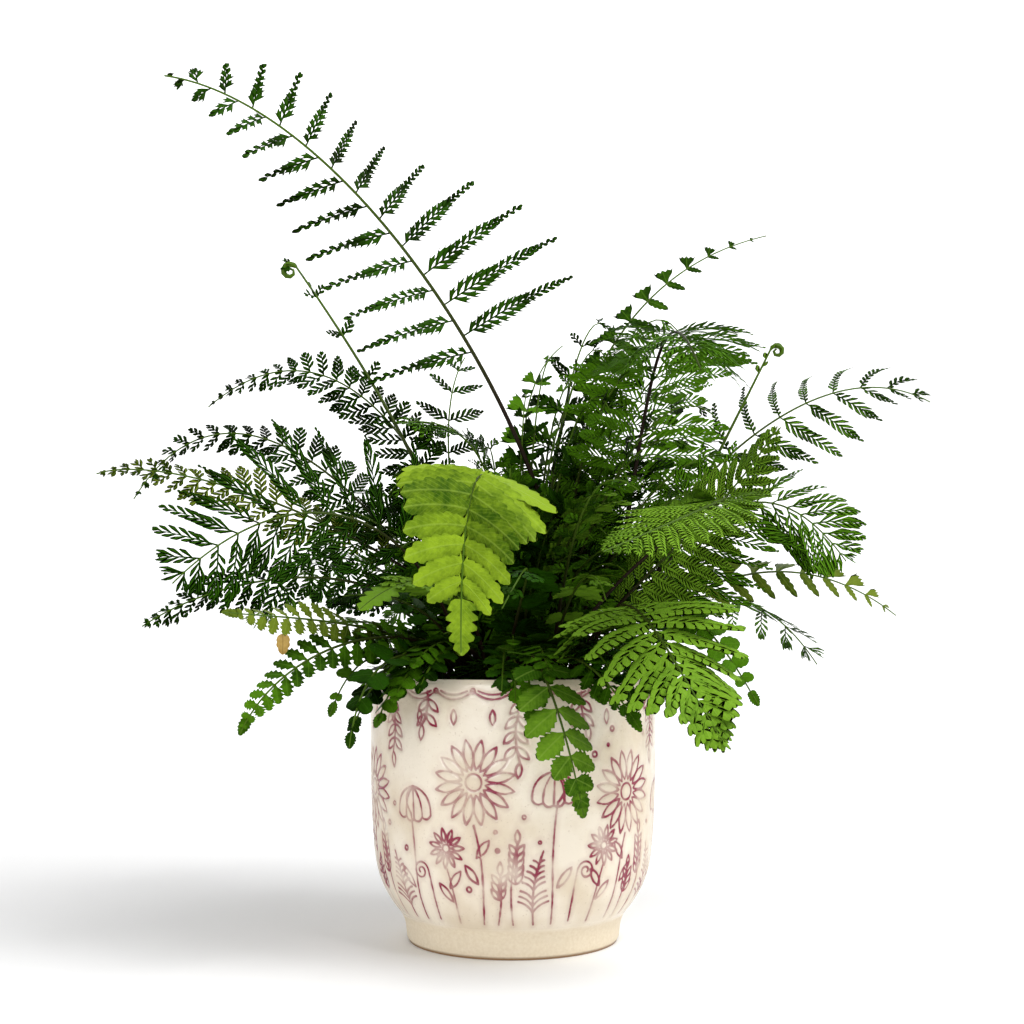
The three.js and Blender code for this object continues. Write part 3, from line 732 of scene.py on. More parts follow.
def find_fits(name, frond, spots, rows):
    """Each leaflet's share and lift: the choice that puts its tip on a corner of the solid. Leaflets in
    between follow their neighbours, and those near the frond's tip are always kept."""
    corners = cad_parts["frond_" + name].data.vertices
    tree = KDTree(len(corners))
    for corner in corners:
        tree.insert(corner.co / MM, corner.index)
    tree.balance()
    for number, spot in enumerate(spots):
        spot["fit"], spot["play"] = None, 0
        if spot["pair"] is None:
            continue
        for share, lift in FITS:
            spot["fit"] = (share, math.radians(lift))
            row = [part[number] for part in rows]
            tip = on_leaflet(row, spot, frond, np.array([[spot["reach"] * share, 0, 0]]))
            if tree.find(tip[0])[2] < NEAR_CORNER:
                break
            spot["fit"] = None
    for number, spot in enumerate(spots):
        if spot["pair"] is None:
            near = [spots[other]["fit"] for other in (number - 2, number + 2) if 0 <= other < len(spots)]
            near = [fit for fit in near if fit]
            if near:
                spot["fit"] = (min(fit[0] for fit in near), sum(fit[1] for fit in near) / len(near))
    for number, spot in enumerate(spots):
        if number > TIP_PART * len(spots) and not spot["fit"]:
            spot["fit"] = TIP_FIT


def give_full_length(spots):
    """Fronds that no solid stands for have all their leaflets, at full length."""
    for spot in spots:
        spot["fit"] = (1, 0.0)


# %% [markdown]
# ## Cut leaflets
# A cut leaflet is a rib with segments on both sides in turn. They lean towards its tip and are
# longest in the middle of the leaflet. One scaled blade would make long leaflets coarser than short
# ones. Segments keep the same spacing on both, as on the plant, so a long leaflet simply has more of
# them.

# %% How leaflets are cut
def cut(segment, pitch, half, lean, wide, least, full, **more):
    """A way to cut leaflets. Segments stand pitch apart and are half wide, and lean by these degrees at
    the leaflet's foot and end. It is wide times as wide as the solid's, but not less than least, and
    narrows beyond full. Some have a web between the segments, or needles beyond tip."""
    look = dict(segment=segment, pitch=pitch, half=half, lean=lean, wide=wide, least=least, full=full)
    return {**look, **more}


LOOKS = {
    "forked": cut("fork", 5.0, 1.5, (44, 30), 1.15, 4.2, 0.15, tip=0.6),
    "needles": cut("needle", 3.6, 1.0, (56, 40), 1.05, 2.8, 0.5),
    "open": cut("spoon", 4.2, 0.84, (37, 30), 1.05, 4.2, 0.5),
    "spoons": cut("spoon", 3.5, 0.85, (46, 30), 1.3, 2.4, 0.4),
    "comb": cut("needle", 2.2, 1.0, (58, 44), 1.05, 2.0, 0.6, web=0.3),
    "lobed": cut("lobe", 4.2, 2.0, (58, 40), 1.75, 2.5, 0.4, web=0.7),
    "oak": cut("lobe", 3.4, 1.55, (58, 38), 1.35, 2.4, 0.5, web=0.6),
}
BOW = 0.22
RIB_HALF, RIB_SHARE = 0.45, 0.97
CALM_WEB = 0.35
UNEVEN_LEAN, UNEVEN_LENGTH, UNEVEN_TONE = 7, 0.15, 0.25
TILT, UNEVEN_TILT = 0.08, 0.16
FIRST_SEGMENT, SEGMENT_RANGE = 0.04, 0.94
LEAST_SWELL, SWELL_RISE, SWELL_FALL = 0.4, 0.12, 0.8
LEAST_LENGTH = 2.1
END_SLIM = 0.8


def lay_out(part, scale, turn, place, tilt):
    """A unit blade scaled, bowed, turned in its plane and put at a place on a leaflet's flat layout."""
    points = part * scale
    along, across = points[:, 0], points[:, 1] - np.sign(turn) * BOW * points[:, 0] ** 2 / scale[0]
    cos, sin = math.cos(turn), math.sin(turn)
    level = points[:, 2] + along * tilt
    return np.stack([place + along * cos - across * sin, along * sin + across * cos, level], axis=1)


def cut_leaflet(look, reach, width, seed):
    """A cut leaflet laid out flat: its points, triangles, blade coordinates and tones. A web joins the
    segments of some leaflets, and those segments are calmer."""
    width = min(max(look["least"], width * look["wide"]), 0.5 * reach)
    ribbed = lay_out(RIB[0], (reach * RIB_SHARE, RIB_HALF, RIB_HALF), 0, 0, 0)
    parts = [(ribbed, RIB[1], RIB[0], 0.3)]
    calm = 1
    if "web" in look:
        web, faces = SEGMENTS["spoon"]
        turned = web * (-1, -1, 1) + (1, 0, 0)
        parts.append((lay_out(turned, (reach, width * look["web"], 1), 0, 0, 0), faces, web, 0.5))
        calm = CALM_WEB
    count = max(2, round(reach / look["pitch"]))
    for number in range(2 * count + 1):
        side = 0 if number == 2 * count else 1 - 2 * (number % 2)
        share = FIRST_SEGMENT + SEGMENT_RANGE * (number + 0.5) / (2 * count + 1)
        fall = min(1, (1 - share) / (1 - look["full"])) ** SWELL_FALL
        swell = min(1, LEAST_SWELL + share / SWELL_RISE) * fall
        vary, other = wobble(number, seed), wobble(number, seed + 0.37)
        at_foot, at_end = look["lean"]
        lean = math.radians(at_foot + (at_end - at_foot) * share + UNEVEN_LEAN * other) * side
        length = max(LEAST_LENGTH * look["half"], width * swell / math.sin(abs(lean) or 1))
        length *= 1 + UNEVEN_LENGTH * vary
        at_tip = share > look.get("tip", 1)
        segment, faces = SEGMENTS["needle" if at_tip else look["segment"]]
        half = look["half"] * min(1, 0.5 + reach / 26) * (0.8 + 0.2 * swell) * (END_SLIM if at_tip else 1)
        place = min(share * reach, reach - length * math.cos(lean))
        tilt = calm * (TILT + UNEVEN_TILT * other)
        flat = lay_out(segment, (length, half, look["half"]), lean, place, tilt)
        # calmer segments get a narrower across coordinate, so less painted margin shade falls on them
        blade = segment * (1, 0.5 + 0.5 * calm, 1)
        parts.append((flat, faces, blade, 0.5 + UNEVEN_TONE * calm * vary))
    return parts


# %% Whole leaflets on a frond
WHOLE = {"rounded": 1.4, "crenate": 1.3, "ovate": 1.45, "falcate": 1.36, "oblong": 0.6, "fan": 1.3}
SHINGLE = {"rounded": 0.2, "crenate": 0.2, "ovate": 0.2, "falcate": -0.6, "oblong": 0.1, "fan": 0.1}
MOST_RISE = 2.5


def whole_leaflet(blade, reach, width):
    """A leaflet in one piece, tilted like a shingle. Its scalloped edge is in the modelled blade."""
    points, faces = BLADES[blade]
    flat = points * (reach, width * WHOLE[blade], min(MOST_RISE, 0.4 * width))
    flat[:, 2] += SHINGLE[blade] * flat[:, 1]
    return [(flat, faces, points, 0.5)]


# %% [markdown]
# ## From leaflets to a frond
# All leaflets of a frond and its stalk become one mesh, because a frond is one living piece. The
# stalk is a curve with a round section that tapers to the tip, turned into a mesh: a cylinder would
# need a bend at every row. Shading is smooth but keeps the sharp cut edges.


# %% Stalk
STALK_AT_FOOT, STALK_AT_TIP = 1.045, 0.320625
ROW_LENGTH = 4
COIL_SWELL = 1.9


def model_stalk(midrib, name, stout):
    """The stalk's points, triangles and, at each point, its age from the foot's 1 to the tip's 0."""
    rows = max(8, int(midrib.length / ROW_LENGTH)) * (2 if midrib.coil else 1)
    shares = np.linspace(0, 0.995, rows)
    places = midrib.rows(shares)[0]
    line = bpy.data.curves.new(name, "CURVE")
    line.dimensions = "3D"
    line.bevel_depth = MM
    line.bevel_resolution = 1
    line.use_fill_caps = True
    spline = line.splines.new("POLY")
    spline.points.add(rows - 1)
    for number, point in enumerate(spline.points):
        point.co = [*(places[number] * MM), 1]
        thick = STALK_AT_FOOT + (STALK_AT_TIP - STALK_AT_FOOT) * shares[number]
        coiled = max(0, (shares[number] - midrib.coil_start()) / (1 - midrib.coil_start()))
        point.radius = stout * thick * (1 + COIL_SWELL * math.sin(math.pi * coiled**0.5))
    new_piece(name, line)
    bpy.ops.object.convert(target="MESH")
    points, faces = take_mesh(bpy.context.object)
    points /= MM
    near = np.array([np.argmin(np.sum((places - point) ** 2, axis=1)) for point in points])
    return points, faces, 1 - shares[near]


# %% Mesh of a piece
BOX_GAP = 5e-5
SHARP_EDGE = 55


def make_piece(name, parts, materials):
    """One mesh object from parts of (points in mm, triangles, blade coordinates, tone, age, material)."""
    starts = np.cumsum([0] + [len(part[0]) for part in parts[:-1]])
    points = np.vstack([part[0] for part in parts]) * MM
    points = np.clip(points, np.array(solid_box[0]) + BOX_GAP, np.array(solid_box[1]) - BOX_GAP)
    faces = np.vstack([part[1] + start for part, start in zip(parts, starts)])
    blade = np.vstack([part[2][:, :2] for part in parts])
    mesh = bpy.data.meshes.new(name)
    mesh.from_pydata(points.tolist(), [], faces.tolist())
    layer = mesh.uv_layers.new(name="blade")
    layer.data.foreach_set("uv", blade[faces.ravel()].ravel())
    for label, column in (("tone", 3), ("age", 4)):
        values = np.concatenate([np.broadcast_to(part[column], len(part[0])) for part in parts])
        mesh.attributes.new(label, "FLOAT", "POINT").data.foreach_set("value", values.astype(np.float32))
    slots = np.concatenate([np.full(len(part[1]), part[5]) for part in parts]).astype(np.int32)
    for material in materials:
        mesh.materials.append(material)
    mesh.polygons.foreach_set("material_index", slots)
    piece = new_piece(name, mesh)
    bpy.ops.object.shade_smooth_by_angle(angle=math.radians(SHARP_EDGE))
    return piece


# %% Parts of a frond
LEAF, STALK = 0, 1


def frond_parts(name, frond, number):
    """The stalk and all leaflets of a frond, as parts for make_piece."""
    midrib = Midrib(frond["midrib"], frond["turn"], frond.get("coil", 0))
    points, faces, age = model_stalk(midrib, name, frond.get("stout", 1))
    parts = [(points, faces, points * 0, 0.5, age + frond.get("wiry", 0), STALK)]
    pale = frond.get("pale", 0)
    if "ending" in frond:
        parts.append(last_leaflet(midrib, *frond.get("tip", frond["ending"]), "toothed", pale))
    elif "tip" in frond:
        parts.append(last_leaflet(midrib, *frond["tip"], "ovate", pale))
    if midrib.coil:
        parts += buds(midrib)
    spots = leaflet_places(frond, number, midrib)
    if not spots:
        return parts
    rows = midrib.rows([spot["share"] for spot in spots])
    if "frond_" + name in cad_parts:
        find_fits(name, frond, spots, rows)
    else:
        give_full_length(spots)
    shown = {**frond, "droop": frond.get("hang", frond.get("droop", DROOP))}
    for place, spot in enumerate(spots):
        if not spot["fit"] or spot["reach"] <= LEAST_REACH:
            continue
        spot["angle"] += math.radians(frond.get("open", 0))
        spot["play"] = wobble(place, 2.7 * number)
        reach, width = [spot[size] * spot["fit"][0] for size in ("reach", "width")]
        reach *= frond.get("short", 1) * frond.get("grow", (1, 1))[spot["side"]]
        width *= frond.get("slim", 1)
        look = ("fan", "oblong")[spot["side"]] if frond["look"] == "wedge" else frond["look"]
        if look in BLADES:
            layout = whole_leaflet(look, reach, width)
        else:
            layout = cut_leaflet(LOOKS[look], reach, width, place + 7 * number)
        tone = UNEVEN_TONE * spot["vary"] + pale
        for flat, triangles, blade, shade in layout:
            bent = on_leaflet([part[place] for part in rows], spot, shown, flat)
            turned = triangles if spot["side"] else triangles[:, ::-1]
            parts.append((bent, turned, blade, shade + tone, 0.0, LEAF))
    return parts


BUD_PLACES = (-0.06, -0.045, -0.025, 0, 0.015, 0.03)
BUD_LENGTH, BUD_SHRINK, BUD_HALF = 4.2, 0.4, 1.3
BUD_ANGLE, BUD_LIFT, BUD_REACH, BUD_DROOP = 0.8, 0.5, 5, -0.3
LAST_WIDE, LAST_RISE = 1.15, 1.2


def buds(midrib):
    """Tiny folded leaflets on the stalk just before a coil and on the coil's back."""
    segment, faces = SEGMENTS["spoon"]
    parts = []
    for number, row in enumerate(zip(*midrib.rows(midrib.coil_start() + np.array(BUD_PLACES)))):
        spot = dict(side=number % 2, angle=BUD_ANGLE, reach=BUD_REACH, play=0, raised=0)
        spot["fit"] = (1, BUD_LIFT * (-1) ** number)
        size = (BUD_LENGTH - BUD_SHRINK * number, BUD_HALF, BUD_HALF)
        bud = on_leaflet(row, spot, dict(kind="round", droop=BUD_DROOP), segment * size)
        parts.append((bud, faces if number % 2 else faces[:, ::-1], segment, 0.6, 0.0, LEAF))
    return parts


def last_leaflet(midrib, reach, half, blade, pale):
    """The lobed leaflet at a frond's tip, laid along the last stretch of its midrib."""
    points, faces = BLADES[blade]
    share = 1 - reach / midrib.length * (1 - points[:, 0])
    place, _, left, up = midrib.rows(np.clip(share, 0, 1))
    flat = points * (1, LAST_WIDE * half, LAST_RISE)
    return place + left * flat[:, 1:2] + up * flat[:, 2:], faces, points, 0.5 + pale, 0.0, LEAF


# %% Make every frond
faces_made = 0
for number, (name, frond) in enumerate(FRONDS.items()):
    parts = frond_parts(name, frond, number)
    piece = make_piece("fern_" + name, parts, [LEAVES[frond["green"]], stalk])
    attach(piece, "root")
    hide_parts("frond_" + name)
    faces_made += len(piece.data.polygons)
    print(f"{piece.name}: {len(parts)} parts, {len(piece.data.polygons)} triangles")
print("triangles in the fronds", faces_made)

# %% [markdown]
# One dry leaflet hangs from the olive frond on the left. It is a whole blade of its own, tan and
# slightly twisted, on a thread of stalk.

# %% Dry leaflet
DRY_FOOT = np.array((-100.0, -92, 152))
DRY_NECK = np.array((-99.0, -95, 147))
DRY_LENGTH, DRY_HALF, DRY_TWIST = 9, 3.2, 0.7
THREAD = (5.8, 0.3, 0.3)

points, faces = BLADES["rounded"]
twist = DRY_TWIST * points[:, 0]
across = DRY_HALF * points[:, 1]
hung = -DRY_LENGTH * points[:, 0]
leaf = DRY_NECK + np.stack([across * np.cos(twist), across * np.sin(twist), hung], axis=1)
thread = DRY_FOOT + RIB[0] * THREAD @ np.array([unit(DRY_NECK - DRY_FOOT), (0, 1, 0), (1, 0, 0)])
parts = [(leaf, faces, points, 0.5, 0, LEAF), (thread, RIB[1], RIB[0], 0.5, 0, LEAF)]
piece = make_piece("fern_dry_leaflet", parts, [dry])
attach(piece, "root")

# %% [markdown]
# ## Pot
# The pot was thrown or cast in pale stoneware: a nearly straight wall that rounds in to a narrower
# plain foot. A cylinder could be scaled row by row, but a potter thinks in profiles. So the profile
# is drawn as a line, spun round the pot's axis and merged where the turn closes. Its corners are
# rounded by cutting them twice, as a wet sponge would.

# %% Pot profile
OUTSIDE = [(50.5, 0), (51.6, 1.2), (52.5, 11.5), (59.5, 19.5), (66, 32), (68.5, 49), (70, 80.3)]
OUTSIDE += [(70.3, 120), (70, 126), (67.5, 127.4), (65.2, 125)]
INSIDE = [(63.5, 49), (54.5, 19.5), (46.5, 8.2)]
BOTTOM, FLOOR = [(0, 0), (25, 0)], [(20, 8), (0, 8)]
SPIN_STEPS = 180
ROW_HEIGHT, INNER_ROW_HEIGHT = 2.4, 6


def cut_corners(points):
    """Replaces every inner corner of a line by two points near it."""
    points = np.array(points, float)
    one, other = 0.75 * points[:-1] + 0.25 * points[1:], 0.25 * points[:-1] + 0.75 * points[1:]
    inner = np.stack([one, other], axis=1).reshape(-1, 2)[1:-1]
    return np.vstack([points[:1], inner, points[-1:]])


def spaced(points, gap):
    """Points on a line of points, about one gap apart."""
    lengths = np.append(0, np.cumsum(np.linalg.norm(np.diff(points, axis=0), axis=1)))
    marks = np.linspace(0, lengths[-1], max(2, round(lengths[-1] / gap) + 1))
    return np.stack([np.interp(marks, lengths, column) for column in points.T], axis=1)


def spin_profile(name, profile, steps):
    """Spins a line of (radius, height) in mm into a closed piece."""
    mesh = bpy.data.meshes.new(name)
    points = [(MM * radius, 0, MM * height) for radius, height in profile]
    mesh.from_pydata(points, [(number, number + 1) for number in range(len(points) - 1)], [])
    piece = new_piece(name, mesh)
    bpy.ops.object.mode_set(mode="EDIT")
    bpy.ops.mesh.select_all(action="SELECT")
    bpy.ops.mesh.spin(steps=steps, angle=2 * math.pi, center=(0, 0, 0), axis=(0, 0, 1))
    bpy.ops.mesh.select_all(action="SELECT")
    bpy.ops.mesh.remove_doubles(threshold=1e-6)
    bpy.ops.mesh.select_all(action="SELECT")
    bpy.ops.mesh.normals_make_consistent(inside=False)
    bpy.ops.object.mode_set(mode="OBJECT")
    return piece


wall_line = spaced(cut_corners(cut_corners(OUTSIDE)), ROW_HEIGHT)
inner_line = spaced(cut_corners(OUTSIDE[-1:] + INSIDE), INNER_ROW_HEIGHT)
pot = spin_profile("pot_body", [*BOTTOM, *wall_line, *inner_line[1:], *FLOOR], SPIN_STEPS)
print("pot faces", len(pot.data.polygons))

# %% [markdown]
# ## A drawing for the wall
# Flowers and grasses in thin lines stand all round the wall, with hanging loops and twigs below the
# rim. The motifs are a daisy, a bell flower, an ear of grain, a small fern, a twig and a curl. They
# are worked out as strokes, which fit the wall at any size. A stroke is a line of points, each by its
# place round the wall and its height in mm.

# %% Motifs
RADIUS = 70.0
STROKE_POINTS = 24


def curved(start, end, bow):
    """A stroke from start to end that bows sideways by a share of its length."""
    start, end = np.array(start, float), np.array(end, float)
    share = np.linspace(0, 1, STROKE_POINTS)[:, None]
    side = np.array((start[1] - end[1], end[0] - start[0]))
    return start + (end - start) * share + 4 * bow * share * (1 - share) * side


def almond(start, end, breadth):
    """An open leaf or petal: two bowed strokes that meet at both ends."""
    return [curved(start, end, breadth), curved(start, end, -breadth)]


def ring(middle, radius, count=20):
    """A circle of so many points."""
    angle = np.linspace(0, 2 * math.pi, count)
    return [np.stack([middle[0] + radius * np.cos(angle), middle[1] + radius * np.sin(angle)], axis=1)]


def polar(middle, distance, degrees):
    """The place at a distance from a middle, in a direction that turns clockwise from straight up."""
    angle = math.radians(degrees)
    return middle[0] + distance * math.sin(angle), middle[1] + distance * math.cos(angle)


def daisy(height, size, petals, lean):
    """A flower seen from above on a thin stem with two leaves."""
    head = (lean, height)
    strokes = [curved((0, 0), (lean, height - size), 0.06)] + ring(head, 0.2 * size)
    for number in range(petals):
        way = 360 * number / petals + 11
        strokes += almond(polar(head, 0.3 * size, way), polar(head, size, way), 0.16)
    for share, side in ((0.3, 1), (0.48, -1)):
        foot = (lean * share, height * share)
        strokes += almond(foot, (foot[0] + side * 6, foot[1] + 8), 0.17)
    return strokes


def bell(height, size, lean):
    """A bell flower that nods on a bent stem, with ribs from its neck to its rim."""
    neck, mouth = (lean, height), (lean * 1.25, height - 1.5 * size)
    bent = (0.3 * lean, 0.8 * height)
    places = (-1, -0.5, 0, 0.5, 1)
    rim = [(mouth[0] + place * size, mouth[1] + 0.25 * size * abs(place)) for place in places]
    strokes = [curved((0, 0), bent, -0.04), curved(bent, neck, 0.3)]
    strokes += [curved(neck, end, 0.22 * place) for place, end in zip(places, rim)]
    strokes += [curved(one, other, -0.25) for one, other in zip(rim, rim[1:])]
    return strokes + almond((0, 0.25 * height), (-7, 0.25 * height + 9), 0.15)


def grain(height, pairs, lean):
    """An ear of grain: almond grains in pairs towards the top of a straw."""
    strokes = [curved((0, 0), (lean, height), 0.05)]
    for number in range(pairs):
        share = 0.52 + 0.42 * number / pairs
        foot = (lean * share, height * share)
        for side in (-1, 1):
            strokes += almond(foot, (foot[0] + side * 3.4, foot[1] + 5), 0.2)
    return strokes + almond((lean, height), (lean, height + 6), 0.2)


def small_fern(height, pairs, lean):
    """A fern of short slanted strokes that get shorter towards the tip."""
    stem = curved((0, 0), (lean, height), -0.08)
    strokes = [stem]
    for number in range(pairs):
        share = 0.2 + 0.76 * number / pairs
        foot = stem[int(share * (STROKE_POINTS - 1))]
        reach = 7.5 * (1 - share) + 1.5
        for side in (-1, 1):
            strokes.append(curved(foot, (foot[0] + side * reach, foot[1] + 0.7 * reach), 0.1 * side))
    return strokes


def twig(length, pairs, lean):
    """A twig that hangs from the loops, with open leaves in pairs and one at its end."""
    stem = curved((0, 0), (lean, -length), 0.1)
    strokes = [stem]
    for number in range(pairs):
        share = (number + 0.6) / (pairs + 0.4)
        foot = stem[int(share * (STROKE_POINTS - 1))]
        for side in (-1, 1):
            strokes += almond(foot, (foot[0] + side * 5.5, foot[1] - 5.5), 0.2)
    return strokes + almond((lean, -length), (lean * 1.3, -length - 7), 0.2)


def curl(height, size):
    """A tendril that ends in a spiral."""
    turn = np.linspace(0, 3.2 * math.pi, 50)
    radius = size * (1 - 0.8 * turn / turn[-1])
    spiral = np.stack([size - radius * np.cos(turn), height + radius * np.sin(turn)], axis=1)
    return [curved((0, 0), (0, height), 0.05), spiral]


# %% The drawing
GROUPS, LOOPS = 6, 24
STEM_FOOT, TWIG_TOP = 17, 121
LOOP_LEVEL, LOOP_GAP, LOOP_DROP = 121.5, 2.6, (113.0, 6.5)
DOTS, DOT_ROOM = 40, 4
POINT_GAP = 0.3

dice = np.random.default_rng(8)
drawing = []
turn_length = 2 * math.pi * RADIUS
for number in range(GROUPS):
    start = turn_length * number / GROUPS - 32
    odd = number % 2
    side = 1 if odd else -1
    lift = dice.uniform(0, 4, 6)
    for motif, around, height, way in (
        (daisy(64 - 6 * odd, 19, 16, 2), 16, STEM_FOOT, side),
        (daisy(33 + lift[0], 9, 11, 2), 2, STEM_FOOT, side),
        (bell(69 - 8 * odd, 10, 2), 53, STEM_FOOT, side),
        (twig(24 + 2 * lift[4], 4, 3), 38, TWIG_TOP, side),
        (twig(13 + lift[5], 2, -3), 64, TWIG_TOP, side),
        (grain(36 + lift[0], 5, 2), 32, STEM_FOOT, -side),
        (small_fern(30 + lift[1], 8, -3), 43, STEM_FOOT, side),
        (curl(22 + lift[2], 4.6), 63, STEM_FOOT + 1, -side),
        (grain(20 + lift[3], 3, -2), 24, STEM_FOOT, side),
    ):
        drawing += [stroke * (way, 1) + (start + around, height) for stroke in motif]
    for spot in dice.uniform((start - 8, 28), (start + 65, 112), (DOTS, 2)):
        if np.min(np.linalg.norm(np.vstack(drawing) - spot, axis=1)) > DOT_ROOM:
            drawing += ring(spot, dice.uniform(0.5, 1.3), 12)
for number in range(LOOPS):
    one, other = [turn_length * place / LOOPS for place in (number, number + 1)]
    for gap, bow in ((0, -0.2), (LOOP_GAP, -0.12)):
        drawing.append(curved((one + gap, LOOP_LEVEL), (other - gap, LOOP_LEVEL), bow))
    top, length = LOOP_DROP
    drop = ((one + other) / 2, top)
    drawing += almond(drop, (drop[0], top - length), 0.2) + ring((one, LOOP_LEVEL), 1.1, 12)
strokes = np.vstack([spaced(stroke, POINT_GAP) for stroke in drawing])
print("strokes", len(drawing), "points", len(strokes))

# %% [markdown]
# ## Pressing the drawing in
# The lines were pressed into the soft clay. Bump would leave the wall's edge smooth, so here they are
# real: faces near a stroke are divided finely, and their points move in by under half a millimetre.
# The attribute "ink" holds every point's distance to the nearest stroke in mm, up to INK_REACH. The
# glaze reads it to lay its wash into the grooves and thinly round them.

# %% Press the strokes
GROOVE_HALF = 0.62
GROOVE_DEPTH = 0.42
LEAST_GROOVE = 0.001
FINE_WITHIN, FINE_CUTS = 1.95, 3
INK_REACH = 5
DRAWN_FROM, DRAWN_TO = 14, 124.5
BOTTOM_RADIUS, LEAST_WALL = 40, 2
FAR = 99
POT_SHARP = 50

marks = KDTree(len(strokes))
for number, (around, height) in enumerate(strokes):
    angle = around / RADIUS
    marks.insert((RADIUS * math.sin(angle), -RADIUS * math.cos(angle), height), number)
marks.balance()


def stroke_distance(co):
    """How far a place on the wall is from the nearest stroke, in mm."""
    radius = math.hypot(co.x, co.y) / MM
    height = co.z / MM
    on_wall = radius >= BOTTOM_RADIUS and radius >= inside_radius(height) + LEAST_WALL
    if not on_wall or not DRAWN_FROM < height < DRAWN_TO:
        return FAR
    return marks.find((co.x / MM * RADIUS / radius, co.y / MM * RADIUS / radius, height))[2]


def inside_radius(height):
    """The radius of the pot's inner wall at a height, in mm."""
    line = np.array(OUTSIDE[-1:] + INSIDE)[::-1]
    return float(np.interp(height, line[:, 1], line[:, 0]))


bpy.ops.object.mode_set(mode="EDIT")
bpy.ops.mesh.select_mode(type="FACE")
bpy.ops.mesh.select_all(action="DESELECT")
bpy.ops.object.mode_set(mode="OBJECT")
for face in pot.data.polygons:
    face.select = stroke_distance(face.center) < FINE_WITHIN
bpy.ops.object.mode_set(mode="EDIT")
bpy.ops.mesh.subdivide(number_cuts=FINE_CUTS)
bpy.ops.object.mode_set(mode="OBJECT")
ink = []
for vertex in pot.data.vertices:
    near = stroke_distance(vertex.co)
    ink.append(min(near, INK_REACH))
    groove = math.exp(-((near / GROOVE_HALF) ** 2))
    if groove > LEAST_GROOVE:
        shrink = 1 - MM * GROOVE_DEPTH * groove / math.hypot(vertex.co.x, vertex.co.y)
        vertex.co.x *= shrink
        vertex.co.y *= shrink
pot.data.attributes.new("ink", "FLOAT", "POINT").data.foreach_set("value", ink)
bpy.ops.object.shade_smooth_by_angle(angle=math.radians(POT_SHARP))
pot.data.calc_loop_triangles()
print("pot triangles with the drawing", len(pot.data.loop_triangles))

# %% [markdown]
# The glaze is a warm cream stoneware glaze, thicker and paler in some places, with fine speckles and
# an uneven, glossy skin. A plum wash was rubbed into the lines and wiped off again, so it is strong
# in some and faint in others. The foot is bare: gritty, matt and paler. A thin brown band at its
# lower edge is painted shade, where the foot meets the floor. Noise and the distance to the strokes
# give all this at any size, where a painted picture would need a seam and a file.

# %% Glaze
FOOT_END = (0.0145, 0.0125)
CONTACT_SHADE_END = (0.0018, 0.0006)
GLOSSY, MATT = 0.22, 0.65

glaze, tree, principled = new_material("glaze_cream", IOR=1.5)
where = add(tree, "TexCoord").outputs["Object"]
height = add(tree, "SeparateXYZ", {"Vector": where}).outputs["Z"]
cream = blend(tree, ramp(tree, patches(tree, where, 38, 4), 0.38, 0.62), "#decfb7", "#ede2d0")
specks = ramp(tree, patches(tree, where, 900, 2), 0.64, 0.78, high=0.35)
speckled = blend(tree, specks, cream, "#9a7d5c")
gritty = blend(tree, patches(tree, where, 700, 3), "#d9c8ab", "#efe3cd")
# painted shade: the bare foot darkens to brown towards its lowest 0.6 mm, where it meets the floor
bare = blend(tree, ramp(tree, height, *CONTACT_SHADE_END), gritty, "#8d6d4a")
foot = ramp(tree, height, *FOOT_END)
near = read(tree, "ink")
unsteady = calculate(tree, "MULTIPLY_ADD", patches(tree, where, 220, 2), 0.7, near)
line = ramp(tree, unsteady, 0.7, 1.15, 1, 0)
smear = ramp(tree, near, 0.6, 3, 0.2, 0)
held = ramp(tree, patches(tree, where, 70, 3), 0.34, 0.6, 0.3)
wash = calculate(tree, "MULTIPLY", calculate(tree, "MAXIMUM", line, smear), held)
colour = blend(tree, wash, blend(tree, foot, speckled, bare), "#861b38")
finish_skin(tree, principled, colour, patches(tree, where, 260, 3), 0.4, 0.0005)
tree.links.new(ramp(tree, foot, 0, 1, GLOSSY, MATT), principled.inputs["Roughness"])
pot.data.materials.append(glaze)
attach(pot, "root")
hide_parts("pot")

# %% [markdown]
# ## Potting soil
# Dark, loose soil fills the pot to just below its rim. Single crumbs would cost far more faces than
# their few glimpses are worth, so the soil is a spun disc with a skirt, and every point of its top is
# moved a little up or down by a fixed noise.

# %% Soil
SOIL_RADIUS, SOIL_TOP, SOIL_SAG = 64.2, 116, 4
SOIL_UNDER, SKIRT_TOP = 109, 0.111
SOIL_ROWS, SOIL_STEPS = 44, 120
CLODS, COARSE, FINE = 1.3, 160, 420
SOIL_SHARP = 40

radii = np.linspace(0, SOIL_RADIUS, SOIL_ROWS)
rings = [(radius, SOIL_TOP - SOIL_SAG * (radius / 64.4) ** 2) for radius in radii]
soil = spin_profile("soil_mix", [*rings, (SOIL_RADIUS, SOIL_UNDER), (0, SOIL_UNDER)], SOIL_STEPS)
for vertex in soil.data.vertices:
    if vertex.co.z > SKIRT_TOP:
        rough = noise.noise(vertex.co * COARSE) + 0.5 * noise.noise(vertex.co * FINE)
        vertex.co.z += CLODS * MM * rough
bpy.ops.object.shade_smooth_by_angle(angle=math.radians(SOIL_SHARP))
earth, tree, principled = new_material("potting_soil", Roughness=0.95)
crumbs = patches(tree, add(tree, "TexCoord").outputs["Object"], 420, 5)
finish_skin(tree, principled, blend(tree, crumbs, "#120c07", "#4a3524"), crumbs, 0.8, 0.001)
soil.data.materials.append(earth)
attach(soil, "root")
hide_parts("soil")
print("soil faces", len(soil.data.polygons))

# %% [markdown]
# ## Inner fronds
# The clump's middle is full of shorter fronds, each mostly hidden by the others. Placing each by hand
# would be long work for what only closes the gaps. They are made like the outer ones, from a fixed
# series of random numbers. Their tips are spread evenly over three domes inside the outer fronds, a
# wide one and two smaller, higher ones, and each frond rises from the crown and arches over to its
# tip. The rounder looks stand only in the lower part. Eight make a piece.

